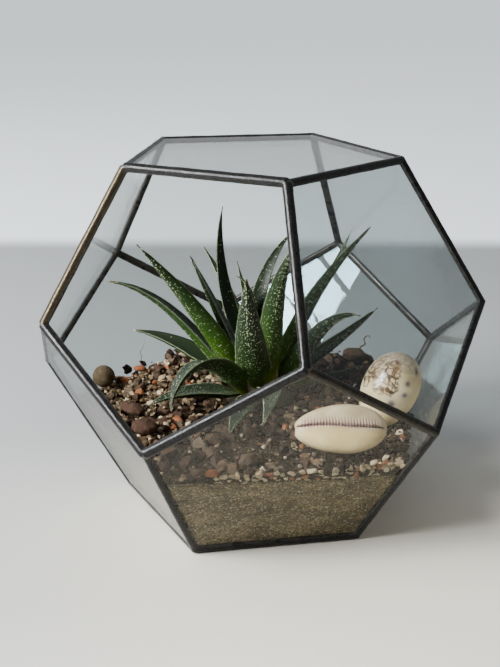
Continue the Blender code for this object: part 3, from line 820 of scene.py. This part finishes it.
def gather(name, parts, finish):
    """Many small things as one object, each given as (points, faces, tone)."""
    points, faces, tones = zip(*parts)
    counts = [len(part) for part in points]
    starts = np.cumsum([0, *counts[:-1]])
    faces = np.concatenate([part + start for part, start in zip(faces, starts)])
    made = mesh_of(name, np.concatenate(points), faces.tolist(), finish)
    keep_values(made.data, tone=np.repeat(tones, counts))
    return made


def heap_object(name, kind, finish, sharp):
    """All the stones of one kind, with their edges sharp from this angle on."""
    made = gather(name, heap[kind], finish)
    made.data.set_sharp_from_angle(angle=math.radians(sharp))
    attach(made, "root")


def varied(tree, value, pattern, amount):
    """A value moved up and down by a pattern, in all by this much."""
    return plus(tree, value, times(tree, plus(tree, pattern, -0.5), amount))


def stone_finish(name, stops, grain, pits, rough=0.8):
    """A stone's finish: a tone of its own, blotched and grained, with a pitted surface."""
    material, tree, shader, where = new_finish(name, Roughness=rough, Specular_IOR_Level=0.15)
    blotches = speckle(tree, where, 260, detail=4, rough=0.65)
    colour = ramp(tree, varied(tree, stored(tree, "tone"), blotches, 0.35), *stops)
    fine = speckle(tree, where, 1400, detail=3, rough=0.7)
    grainy = ramp(tree, fine, (0.3, (1 - grain,) * 3), (0.7, (1 + grain,) * 3))
    paint(tree, shader, Base_Color=mix(tree, 1.0, colour, grainy, "MULTIPLY"))
    relief(tree, shader, speckle(tree, where, 700, detail=5, rough=0.7), pits)
    return material


pebble_finish = stone_finish(
    "brown_pebbles",
    [
        (0.00, (0.034, 0.021, 0.017)), (0.20, (0.072, 0.037, 0.024)), (0.40, (0.046, 0.029, 0.020)),
        (0.55, (0.105, 0.062, 0.036)), (0.70, (0.066, 0.044, 0.028)), (0.85, (0.150, 0.102, 0.062)),
        (1.00, (0.095, 0.071, 0.049)),
    ],
    0.35, 0.0012,
)
chip_finish = stone_finish(
    "pale_chips",
    [
        (0.00, (0.130, 0.075, 0.040)), (0.25, (0.240, 0.160, 0.090)), (0.45, (0.140, 0.100, 0.066)),
        (0.60, (0.330, 0.240, 0.135)), (0.80, (0.450, 0.350, 0.210)), (1.00, (0.590, 0.500, 0.340)),
    ],
    0.25, 0.0007,
)
terracotta_finish = stone_finish(
    "broken_terracotta",
    [(0.0, (0.120, 0.045, 0.024)), (0.5, (0.240, 0.082, 0.036)), (1.0, (0.330, 0.130, 0.060))],
    0.25, 0.0006,
)
bark_finish = stone_finish(
    "bark_and_clods",
    [(0.0, (0.010, 0.006, 0.004)), (0.5, (0.030, 0.017, 0.010)), (1.0, (0.070, 0.040, 0.022))],
    0.40, 0.0012, 0.9,
)
grit_finish = stone_finish(
    "pale_grit",
    [
        (0.00, (0.035, 0.022, 0.013)), (0.30, (0.110, 0.072, 0.042)), (0.55, (0.180, 0.130, 0.085)),
        (0.80, (0.270, 0.210, 0.145)), (1.00, (0.400, 0.345, 0.260)),
    ],
    0.25, 0.0006,
)
heap_object("brown_pebbles", "pebbles", pebble_finish, 38)
heap_object("pale_chips", "chips", chip_finish, 35)
heap_object("terracotta_bits", "terracotta", terracotta_finish, 30)
heap_object("bark_bits", "bark", bark_finish, 35)
heap_object("grit", "grit", grit_finish, 35)
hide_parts("gravel_bed")


# ---- The larger stones ---------------------------------------------------------------------------
# Five stones stand clear of the gravel: a round brown-grey one full of small pits, three brown pebbles
# of lava or sandstone, and a chip off a terracotta pot.


def welded(mesh):
    """A mesh opened for editing, with the corners that its faces share made one."""
    bm = bmesh.new()
    bm.from_mesh(mesh)
    bmesh.ops.remove_doubles(bm, verts=bm.verts, dist=1e-5)
    return bm


def weathered(node_name, finish, tone, lump):
    """A CAD stone with the lumps and hollows of the real one."""
    obj = link(bpy.data.objects.new(node_name + "_skin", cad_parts[node_name].data.copy()))
    bm = welded(obj.data)
    bm.to_mesh(obj.data)
    bm.free()
    with_modifier(obj, "SUBSURF", levels=2, render_levels=2)
    points, out = points_and_normals(obj.data)
    push = [lump * (noise.noise(Vector(p) * 170) + 0.5 * noise.noise(Vector(p) * 420)) for p in points]
    move_to(obj.data, press_to_glass(points + out * (np.array(push) + lump * 0.4)[:, None]))
    obj.data.shade_smooth()
    dress(obj.data, finish)
    keep_values(obj.data, tone=tone)
    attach(obj, "root")
    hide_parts(node_name)


pitted, tree, shader, where = new_finish("pitted_brown_stone", Roughness=0.85, Specular_IOR_Level=0.15)
holes = between(tree, grains(tree, where, 0.0030)[0], 0.10, 0.20, 1, 0)
cloud = speckle(tree, where, 210, detail=4, rough=0.6)
tone = ramp(tree, cloud, (0.35, (0.060, 0.041, 0.022)), (0.65, (0.100, 0.074, 0.043)))
# Painted shade: the pits are painted near black, for the shade that falls in them.
paint(tree, shader, Base_Color=mix(tree, times(tree, holes, 0.85), tone, (0.016, 0.010, 0.006)))
rough_skin = speckle(tree, where, 900, detail=4)
relief(tree, shader, maths(tree, "SUBTRACT", times(tree, rough_skin, 0.35), holes), 0.0016)
weathered("pitted_stone", pitted, 0.5, 0.00025)
weathered("flat_brown_stone", pebble_finish, 0.22, 0.0007)
weathered("red_brown_pebble", pebble_finish, 0.25, 0.0007)
weathered("back_brown_stone", pebble_finish, 0.60, 0.0006)
weathered("terracotta_chip", terracotta_finish, 0.45, 0.0004)


# ---- The aloe ------------------------------------------------------------------------------------
# Twenty pointed, channelled leaves on one short stem: dark green skin over clear flesh, yellow-green at
# the foot, with rows of hard pale warts and a fringe of tiny pale teeth along both margins.

LEAF_ROWS = 84
UPPER_COLUMNS = 12
LOWER_COLUMNS = 14
THINNEST = 0.00012  # the least half width, thickness and depth of channel, at a leaf's very tip
WART_GAP = 0.0017
WART_ROW_GAPS = (0.0011, 0.0018)
WART_SIZES = (0.00016, 0.00036)
KEEL_WART_SIZES = (0.00030, 0.00050)
TOOTH_GAPS = (0.0009, 0.0014)
TOOTH_SIZES = (0.00035, 0.00065)
WARTS_FROM, TEETH_FROM, MARKS_END = 0.10, 0.16, 0.985  # shares of a leaf's length


def leaf_sections(node_name):
    """The sections of a CAD leaf from foot to tip, as (points on the middle, sides, overs, sizes)."""
    bm = welded(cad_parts[node_name].data)
    bm.verts.ensure_lookup_table()
    points = np.array([v.co[:] for v in bm.verts])
    spans = np.linalg.norm(points[:, None] - points[None], axis=2)
    tip = int(np.sort(spans, axis=1)[:, 7].argmin())
    ring = set(np.argsort(spans[tip])[:8].tolist())
    seen, sections = set(ring), []
    side_before = None
    while ring:
        chosen = sorted(ring)
        part = spans[np.ix_(chosen, chosen)]
        a, b = (chosen[i] for i in np.unravel_index(part.argmax(), part.shape))
        side = points[b] - points[a]
        middle = (points[a] + points[b]) / 2
        top = min((c for c in chosen if c not in (a, b)), key=lambda c: np.linalg.norm(points[c] - middle))
        half = np.linalg.norm(side) / 2
        side = side / (2 * half)
        if side_before is not None and side @ side_before < 0:
            side = -side
        side_before = side
        keel = max(chosen, key=lambda c: np.linalg.norm(np.cross(points[c] - middle, side)))
        over = points[top] - points[keel]
        thick, channel = np.linalg.norm(over), np.linalg.norm(middle - points[top])
        sections.append((points[top], side, over / thick, (half, thick, channel)))
        ring = {e.other_vert(bm.verts[i]).index for i in ring for e in bm.verts[i].link_edges} - seen
        seen |= ring
    bm.free()
    return [np.array(part) for part in zip(*reversed(sections))]


def smooth_between(values, at):
    """Catmull-Rom through rows of values, read at fractional rows."""
    last = len(values) - 1
    first = np.minimum(at.astype(int), last - 1)
    share = (at - first)[:, None]
    before, after = values[np.maximum(first - 1, 0)], values[np.minimum(first + 2, last)]
    start, end = values[first], values[first + 1]
    return start + 0.5 * share * (
        (end - before)
        + share * ((2 * before - 5 * start + 4 * end - after) + share * (3 * (start - end) + after - before))
    )


def unit(rows):
    return rows / np.linalg.norm(rows, axis=-1, keepdims=True)


SIXTHS = [k * math.pi / 3 for k in range(6)]


def wart(centre, out, ahead, size, tall):
    """A small wart standing on a surface: a six-sided dome, as (points, triangles)."""
    side = np.cross(out, ahead)
    points = []
    for wide, high in ((1.0, -0.15), (0.72, 0.55)):
        for turn in SIXTHS:
            spoke = math.cos(turn) * ahead + math.sin(turn) * side
            points.append(centre + size * (wide * spoke + high * tall * out))
    points.append(centre + size * 0.85 * tall * out)
    faces = []
    for k in range(6):
        j = (k + 1) % 6
        faces += [(k, j, 6 + j), (k, 6 + j, 6 + k), (6 + k, 6 + j, 12)]
    return points, faces


def tooth(centre, out, ahead, size):
    """A soft pale tooth on a margin: a short three-sided spike, as (points, triangles)."""
    up = np.cross(out, ahead)
    corners = ((1, 0), (-0.6, 0.7), (-0.6, -0.7))
    foot = [centre + size * 0.5 * (ahead * a + up * b) - out * size * 0.3 for a, b in corners]
    return [*foot, centre + out * size + ahead * size * 0.5], [(0, 1, 3), (1, 2, 3), (2, 0, 3)]


def grow_leaf(node_name, shade, film, warts_above, warts_below, withered):
    """One leaf's skin, warts and teeth over its CAD shape."""
    chance = random.Random(node_name)
    middles, sides, overs, sizes = leaf_sections(node_name)
    at = np.linspace(0, len(middles) - 1, LEAF_ROWS)
    middle, size = smooth_between(middles, at), smooth_between(sizes, at)
    side, over = unit(smooth_between(sides, at)), unit(smooth_between(overs, at))
    half, thick, channel = (np.maximum(size[:, k], THINNEST)[:, None] for k in range(3))
    above = np.linspace(-1, 1, UPPER_COLUMNS + 1)[None]
    turn = np.linspace(0, math.pi, LOWER_COLUMNS + 1)[None, 1:-1]
    across = np.concatenate([above, np.cos(turn)], axis=1)
    high_above = channel * above**2
    high_below = channel * (1 - np.sin(turn)) - thick * np.sin(turn) ** 1.5
    high = np.concatenate([high_above, high_below], axis=1)
    wave = np.array([noise.noise(Vector((a * 0.9, shade * 40, film * 30))) for a in at])[:, None]
    skin = (
        middle[:, None] + side[:, None] * (across * half * (1 + 0.05 * wave))[..., None]
        + over[:, None] * high[..., None]
    )
    columns = skin.shape[1]
    points = list(skin.reshape(-1, 3))
    faces = ring_faces(LEAF_ROWS, columns).tolist()
    faces += [list(range(columns))[::-1], [len(points) - columns + k for k in range(columns)]]
    skin_faces = len(faces)

    length = np.concatenate([[0], np.cumsum(np.linalg.norm(np.diff(middle, axis=0), axis=1))])
    run = unit(np.gradient(middle, axis=0))

    def stick(made):
        first = len(points)
        points.extend(made[0])
        faces.extend([first + i for i in face] for face in made[1])

    where = WARTS_FROM * length[-1]
    while where < length[-1] * MARKS_END:
        t = where / length[-1]
        row = int(np.searchsorted(length, where).clip(1, LEAF_ROWS - 1))
        wide = half[row, 0]
        count = max(1, int(wide * 2 / WART_GAP))
        for upper, amount in ((True, warts_above), (False, warts_below)):
            for k in range(count):
                if chance.random() > amount * (0.45 + 0.95 * t):
                    continue
                spot = ((k + 0.5 + chance.uniform(-0.45, 0.45)) / count * 2 - 1) * 0.88
                j = min(max(row + chance.choice((-1, 0, 0, 1)), 0), LEAF_ROWS - 1)
                if upper:
                    high_here, rise = channel[j, 0] * spot**2, 2 * channel[j, 0] * spot / half[j, 0]
                    out = unit(over[j] - side[j] * rise)
                else:
                    bow = math.sqrt(1 - spot**2)
                    high_here = channel[j, 0] * (1 - bow) - thick[j, 0] * bow**1.5
                    out = unit(-over[j] * max(bow, 0.25) + side[j] * spot * thick[j, 0] / half[j, 0] * 1.6)
                centre = middle[j] + side[j] * spot * half[j, 0] + over[j] * high_here
                stick(wart(centre, out, run[j], chance.uniform(*WART_SIZES) * (0.75 + 0.4 * t), 0.8))
        if t > 0.5 and chance.random() < warts_below * t:
            foot = middle[row] - over[row] * thick[row, 0]
            stick(wart(foot, -over[row], run[row], chance.uniform(*KEEL_WART_SIZES), 0.7))
        where += chance.uniform(*WART_ROW_GAPS)
    where = TEETH_FROM * length[-1]
    while where < length[-1] * MARKS_END:
        row = int(np.searchsorted(length, where).clip(1, LEAF_ROWS - 1))
        share = (where - length[row - 1]) / (length[row] - length[row - 1])
        for hand in (-1, 1):
            rim = skin[row - 1, 0 if hand < 0 else UPPER_COLUMNS] * (1 - share)
            rim = rim + skin[row, 0 if hand < 0 else UPPER_COLUMNS] * share
            stick(tooth(rim, side[row] * hand, run[row], chance.uniform(*TOOTH_SIZES)))
        where += chance.uniform(*TOOTH_GAPS)

    made = mesh_of(node_name + "_skin", points, faces, aloe_skin, aloe_wart)
    marks = np.zeros(len(faces), np.int32)
    marks[skin_faces:] = 1
    made.data.polygons.foreach_set("material_index", marks)
    extra = len(points) - skin.shape[0] * columns
    keep_values(
        made.data,
        along=np.append(np.repeat(length / length[-1], columns), np.ones(extra)),
        across=np.append(np.tile(across[0], LEAF_ROWS), np.zeros(extra)),
        topside=np.append(np.tile(np.arange(columns) <= UPPER_COLUMNS, LEAF_ROWS), np.zeros(extra)),
        shade=shade, film=film, withered=withered,
    )
    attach(made, "root")
    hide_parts(node_name)


aloe_skin, tree, shader, where = new_finish("aloe_leaf_skin", Roughness=0.42, Specular_IOR_Level=0.28)
along, shade, film = stored(tree, "along"), stored(tree, "shade"), stored(tree, "film")
across = maths(tree, "ABSOLUTE", stored(tree, "across"))
patchy = speckle(tree, where, 120, detail=4, rough=0.6)
spread = varied(tree, along, patchy, 0.22)
dark = ramp(
    tree, spread, (0.00, (0.110, 0.140, 0.002)), (0.14, (0.022, 0.060, 0.001)),
    (0.36, (0.0050, 0.0180, 0.0012)), (0.70, (0.0030, 0.0100, 0.0016)), (0.95, (0.0060, 0.0100, 0.0022)),
)
bright = ramp(
    tree, spread, (0.00, (0.180, 0.230, 0.002)), (0.20, (0.046, 0.120, 0.002)), (0.50, (0.018, 0.056, 0.002)),
    (0.80, (0.008, 0.026, 0.002)), (0.97, (0.012, 0.018, 0.004)),
)
tone = mix(tree, shade, dark, bright)
topside = between(tree, stored(tree, "topside"), 0.2, 0.8)
# Painted shade: the upper side is painted darker, partly the leaf's own darker green and partly the shade in
# its channel.
tone = mix(tree, times(tree, topside, 0.6), tone, (0.0065, 0.0105, 0.0036))
veins = speckle(tree, add(tree, "CombineXYZ", {0: times(tree, stored(tree, "across"), 9)}).outputs[0], 1.0)
tone = mix(tree, times(tree, veins, 0.10), tone, (0.020, 0.045, 0.006))
powder = times(tree, film, between(tree, topside, 0, 1, 0.15, 0.8))
tone = mix(tree, powder, tone, (0.024, 0.034, 0.024))
tone = mix(tree, times(tree, between(tree, across, 0.965, 1.0), 0.75), tone, (0.11, 0.15, 0.06))
dry = times(tree, between(tree, along, 0.90, 1.0), stored(tree, "withered"))
tone = mix(tree, dry, tone, (0.10, 0.075, 0.045))
flesh = times(tree, between(tree, along, 0.05, 0.45, 1, 0), 0.30)
paint(tree, shader, Base_Color=tone, Roughness=between(tree, patchy, 0.3, 0.7, 0.44, 0.60))
paint(tree, shader, Subsurface_Weight=flesh, Subsurface_Scale=0.004)
relief(tree, shader, speckle(tree, where, 800, detail=3), 0.00018)

aloe_wart, tree, shader, where = new_finish("aloe_wart", Roughness=0.5)
pale = speckle(tree, where, 700, detail=2)
paint(tree, shader, Base_Color=ramp(tree, pale, (0.35, (0.22, 0.29, 0.12)), (0.6, (0.52, 0.58, 0.38))))
relief(tree, shader, pale, 0.0001)

# Each leaf: dark to bright, powdery film, warts on the upper and on the lower side, and how dry its tip is
LEAF_LOOKS = [
    (0.05, 0.10, 0.10, 0.50, 0.3), (0.10, 0.30, 0.03, 0.40, 0.3), (0.10, 0.15, 0.06, 0.45, 0.4),
    (0.85, 0.00, 0.10, 0.62, 0.3), (0.40, 0.10, 0.05, 0.95, 0.6), (0.15, 0.00, 0.03, 0.75, 0.8),
    (0.20, 0.75, 0.60, 0.85, 1.0), (0.15, 0.75, 0.60, 0.80, 0.5), (0.02, 0.00, 0.30, 0.95, 0.3),
    (0.15, 0.05, 0.20, 0.80, 0.8), (1.00, 0.00, 0.05, 0.15, 0.3), (0.05, 0.00, 0.45, 0.80, 0.3),
    (0.35, 0.10, 0.60, 0.85, 0.3), (0.25, 0.10, 0.75, 0.95, 0.4), (0.15, 0.10, 0.75, 0.95, 0.4),
    (0.20, 0.35, 0.60, 0.95, 0.4), (0.12, 0.45, 0.55, 0.90, 0.3), (0.30, 0.70, 0.60, 0.50, 0.3),
    (0.15, 0.80, 0.40, 0.60, 0.5), (0.15, 0.80, 0.40, 0.60, 0.4),
]
for number, looks in enumerate(LEAF_LOOKS, 1):
    grow_leaf(f"leaf_{number:02d}", *looks)

roots, tree, shader, where = new_finish("fibrous_roots", Roughness=0.9)
drawn_out = add(tree, "Mapping", {"Vector": where, "Scale": (1, 1, 0.25)}).outputs[0]
strands = speckle(tree, drawn_out, 900, detail=5)
paint(tree, shader, Base_Color=ramp(tree, strands, (0.35, (0.02, 0.014, 0.008)), (0.65, (0.09, 0.07, 0.04))))
relief(tree, shader, strands, 0.0008)
dress(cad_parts["stem_and_roots"].data, roots)


# ---- The cowries ---------------------------------------------------------------------------------
# Two sea shells laid on the gravel for show. The pale one shows its toothed slit, stained mauve; the
# other, standing on its end, shows a back reticulated with brown and a flank with blue-grey spots.

SHELL_ROUND = 156
SHELL_ALONG = 116
SLIT_WIDTH = 0.00055
SLIT_DEPTH = 0.0030
LIP_WIDTH = 0.0033
LIP_RISE = 0.0004
NOTCH_WIDTH = 0.0022


def shell_axes(node_name, slit_towards, length_towards):
    """A shell's middle, length and axes: ahead, across and back, from its CAD shape."""
    points = rows_of(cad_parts[node_name].data.vertices, "co")
    rough_middle = (points.min(0) + points.max(0)) / 2
    way = unit(np.array(length_towards))
    far = points[((points - rough_middle) @ way).argmax()]
    near = points[np.linalg.norm(points - far, axis=1).argmax()]
    ahead = unit(far - near)
    back = -np.array(slit_towards, float)
    back = unit(back - ahead * (back @ ahead))
    across = np.cross(back, ahead)
    reach = (points - (far + near) / 2) @ np.array([across, back]).T
    return (far + near) / 2, np.linalg.norm(far - near), ahead, across, back, reach.min(0), reach.max(0)


def cowrie(node_name, slit_towards, length_towards, finish, slit_side):
    """A cowrie's skin over its CAD shape, with values for its finish to paint from."""
    middle, length, ahead, across, back, low, high = shell_axes(node_name, slit_towards, length_towards)
    width = high[0] - low[0]
    down, up = -low[1], high[1]
    lean = np.linspace(0, math.pi, SHELL_ALONG)[:, None]
    turn = np.linspace(0, 2 * math.pi, SHELL_ROUND, endpoint=False)[None]
    u, ring = -np.cos(lean), np.sin(lean)
    v, w = ring * np.sin(turn), ring * np.cos(turn)
    swell = 1 + 0.12 * u
    side = v * swell * width / 2 / 1.02
    lift = np.where(w > 0, w * swell * up / 1.03, w * down * 1.04)
    slit_at = slit_side * width / 2 * (1 - 0.9 * u**2) + 0.0014 * u + 0.0003 * np.sin(5 * u)
    away = side - slit_at
    under = np.clip(-w * 2.2, 0, 1)
    ends = np.clip((1 - np.abs(u)) / 0.10, 0, 1)
    slit = np.exp(-((away / SLIT_WIDTH) ** 2)) * under * ends
    lips = np.exp(-((away / LIP_WIDTH) ** 2)) * under * ends
    teeth = lips * np.where(away < 0, 1.0, np.exp(-np.maximum(away - 0.0006, 0) / 0.0007))
    teeth = teeth * np.clip((0.86 - np.abs(u)) / 0.1, 0, 1)
    lift = lift + SLIT_DEPTH * slit - LIP_RISE * lips
    notch = np.exp(-(((u + 0.985) / 0.06) ** 2)) * np.exp(-((side / NOTCH_WIDTH) ** 2))
    skin = (
        middle + ahead * ((u + 0.05 * notch) * length / 2)[..., None]
        + across * side[..., None] + back * lift[..., None]
    )
    faces = ring_faces(SHELL_ALONG, SHELL_ROUND)[:, [0, 3, 2, 1]]
    made = mesh_of(node_name + "_skin", skin.reshape(-1, 3), faces.tolist(), finish)
    lower_lip = np.clip(away / 0.004, 0, 1) * np.clip(-w * 1.5, 0, 1)
    keep_values(
        made.data,
        along=np.broadcast_to(u, v.shape).ravel(), turn=np.degrees(np.arctan2(v, w)).ravel(),
        slit=slit.ravel(), teeth=teeth.ravel(), lower_lip=lower_lip.ravel(),
    )
    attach(made, "root")
    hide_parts(node_name)


ivory, tree, shader, where = new_finish("ivory_cowrie", Roughness=0.38)
clouds = speckle(tree, where, 70, detail=4, rough=0.55)
fine = speckle(tree, where, 600, detail=3)
upper = ramp(tree, clouds, (0.35, (0.40, 0.30, 0.17)), (0.65, (0.60, 0.49, 0.31)))
lower = ramp(tree, clouds, (0.35, (0.60, 0.43, 0.17)), (0.65, (0.76, 0.60, 0.29)))
tone = mix(tree, stored(tree, "lower_lip"), upper, lower)
tone = mix(tree, times(tree, between(tree, fine, 0.60, 0.72), 0.25), tone, (0.50, 0.42, 0.32))
wave = maths(tree, "COSINE", times(tree, stored(tree, "along"), 97))
grooves = times(tree, between(tree, wave, -0.7, 0.5, 1, 0), stored(tree, "teeth"))
tone = mix(tree, times(tree, stored(tree, "teeth"), 0.30), tone, (0.44, 0.26, 0.24))
tone = mix(tree, times(tree, grooves, 0.95), tone, (0.21, 0.075, 0.105))
tone = mix(tree, times(tree, stored(tree, "slit"), 0.85), tone, (0.095, 0.040, 0.070))
paint(tree, shader, Base_Color=tone, Subsurface_Weight=0.08, Subsurface_Scale=0.003)
surface = plus(tree, clouds, times(tree, fine, 0.15))
relief(tree, shader, plus(tree, surface, times(tree, grooves, -1.2)), 0.0005)
cowrie("pale_cowrie", (0.35, -0.71, 0.62), (0.90, 0.44, 0.03), ivory, -0.02)

mottled, tree, shader, where = new_finish("mottled_cowrie", Roughness=0.30)
along, turn = stored(tree, "along"), stored(tree, "turn")
clouds = speckle(tree, where, 60, detail=4, rough=0.55)


def oval(tree, along, turn, at_along, at_turn, half_along, half_turn):
    """How far out a point lies from an oval on the shell, with 1 on the oval's edge."""
    first = times(tree, plus(tree, along, -at_along), 1 / half_along)
    second = times(tree, plus(tree, turn, -at_turn), 1 / half_turn)
    both = plus(tree, maths(tree, "POWER", first, 2.0), maths(tree, "POWER", second, 2.0))
    return maths(tree, "POWER", both, 0.5)


grey = between(tree, plus(tree, along, times(tree, turn, 0.006)), 0.1, 0.75)
cream = ramp(tree, clouds, (0.30, (0.50, 0.36, 0.18)), (0.55, (0.74, 0.58, 0.32)), (0.75, (0.86, 0.75, 0.50)))
base = mix(tree, grey, cream, (0.40, 0.33, 0.24))
net = add(tree, "TexVoronoi", {"Vector": where, "Scale": 230}, feature="DISTANCE_TO_EDGE").outputs[0]
wobbly = speckle(tree, where, 150, detail=5, rough=0.65, warp=1.6)
lines = between(tree, net, 0.04, 0.16, 0.7, 0)
strokes = maths(tree, "ADD", lines, between(tree, wobbly, 0.51, 0.58), clamp=True)
ragged = times(tree, speckle(tree, where, 130, detail=3), 0.9)
centre = plus(tree, oval(tree, along, turn, 0.34, -12, 0.52, 33), ragged)
left = plus(tree, oval(tree, along, turn, 0.28, 36, 0.50, 26), ragged)
band = maths(tree, "MAXIMUM", between(tree, centre, 1.25, 1.45, 1, 0), between(tree, left, 1.25, 1.45, 1, 0))
back_only = between(tree, maths(tree, "ABSOLUTE", turn), 40, 85, 1, 0)
top = times(tree, between(tree, along, 0.45, 0.75), back_only)
cover = maths(tree, "MAXIMUM", band, times(tree, top, 0.45))
brown = ramp(tree, ragged, (0.35, (0.055, 0.024, 0.009)), (0.60, (0.170, 0.090, 0.038)))
tone = mix(tree, times(tree, cover, 0.25), base, (0.42, 0.27, 0.13))
tone = mix(tree, times(tree, cover, strokes), tone, brown)
for spot_along, spot_turn, wide in ((0.76, -72, 1.0), (0.43, -54, 1.0), (0.15, -58, 1.0), (-0.18, -42, 1.4)):
    far = oval(tree, along, turn, spot_along, spot_turn, 0.085 * wide, 7.5 * wide)
    tone = mix(tree, between(tree, far, 0.2, 1.9, 0.5, 0), tone, (0.30, 0.23, 0.22))
    tone = mix(tree, between(tree, far, 0.2, 1.1, 0.85, 0), tone, (0.075, 0.055, 0.070))
paint(tree, shader, Base_Color=tone, Coat_Weight=0.35, Coat_Roughness=0.18)
relief(tree, shader, clouds, 0.0004)
cowrie("mottled_cowrie", (0.20, 0.90, -0.40), (0.36, 0.47, 0.80), mottled, -0.10)


# ---- The twigs and rootlets ----------------------------------------------------------------------
# Dry bits in the compost: a fine root that stands up at the left, a curled one at the back, a forked
# stem before the pale shell, and short rootlets that the glass shows in the soil.


def stalk(path, thick, tone):
    """A round stalk through some places in millimetres, this thick in millimetres at its foot."""
    rows = np.array(path, float) / 1000
    middle = smooth_between(rows, np.linspace(0, len(rows) - 1, 6 * len(rows)))
    ahead = unit(np.gradient(middle, axis=0))
    side = unit(np.cross(ahead, (0.31, 0.52, 0.79)))
    over = np.cross(side, ahead)
    slim = np.linspace(1, 0.35, len(middle))[:, None] * thick / 2000
    rings = [middle + slim * (math.cos(turn) * side + math.sin(turn) * over) for turn in SIXTHS]
    stalks.append((np.stack(rings, axis=1).reshape(-1, 3), ring_faces(len(middle), len(SIXTHS)), tone))


stalks = []
stalk([(-98, 18, 69), (-98.5, 20, 74), (-99.4, 20.5, 77.5), (-98.2, 22, 80), (-98.3, 25, 84.5)], 0.45, 0.0)
stalk([(-98.5, 20, 74), (-96.8, 19, 75.5), (-95.9, 18.6, 75)], 0.35, 0.0)
curled = [(35, 88, 70), (36, 93, 75), (34.6, 95, 78), (37.6, 96.5, 80.5), (36.4, 97.5, 84), (39, 98, 86.5)]
stalk([*curled, (41, 98, 85)], 1.5, 0.55)
stalk([(32, 86, 71), (30.5, 90, 76), (32, 93, 77.5)], 0.6, 0.25)
stalk([(50.5, -49, 62.5), (53, -46, 66), (56.5, -43.5, 69), (60, -41, 71.5)], 0.55, 0.85)
stalk([(53, -46, 66), (51, -44.5, 68.5), (51.2, -43.2, 70.5)], 0.4, 0.8)
for _ in range(26):
    across, height = chance.uniform(-0.058, 0.058), chance.uniform(0.060, 0.068)
    bend = chance.uniform(-0.003, 0.003)
    path = []
    for step in range(5):
        up = height + bend * math.sin(step * 1.3) + 0.0006 * step
        path.append([1000 * part for part in along_glass(0, across + step * 0.0022, up, 0.0006)])
    stalk(path, chance.uniform(0.18, 0.34), chance.uniform(0.1, 0.6))

dry, tree, shader, where = new_finish("dry_stems", Roughness=0.8, Specular_IOR_Level=0.2)
streaks = speckle(tree, where, 600, detail=4)
shift = varied(tree, stored(tree, "tone"), streaks, 0.4)
colour = ramp(
    tree, shift, (0.0, (0.018, 0.012, 0.008)), (0.5, (0.075, 0.045, 0.025)), (1.0, (0.260, 0.190, 0.100))
)
paint(tree, shader, Base_Color=colour)
relief(tree, shader, streaks, 0.0001)
twigs = gather("twigs_and_rootlets", stalks, dry)
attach(twigs, "root")
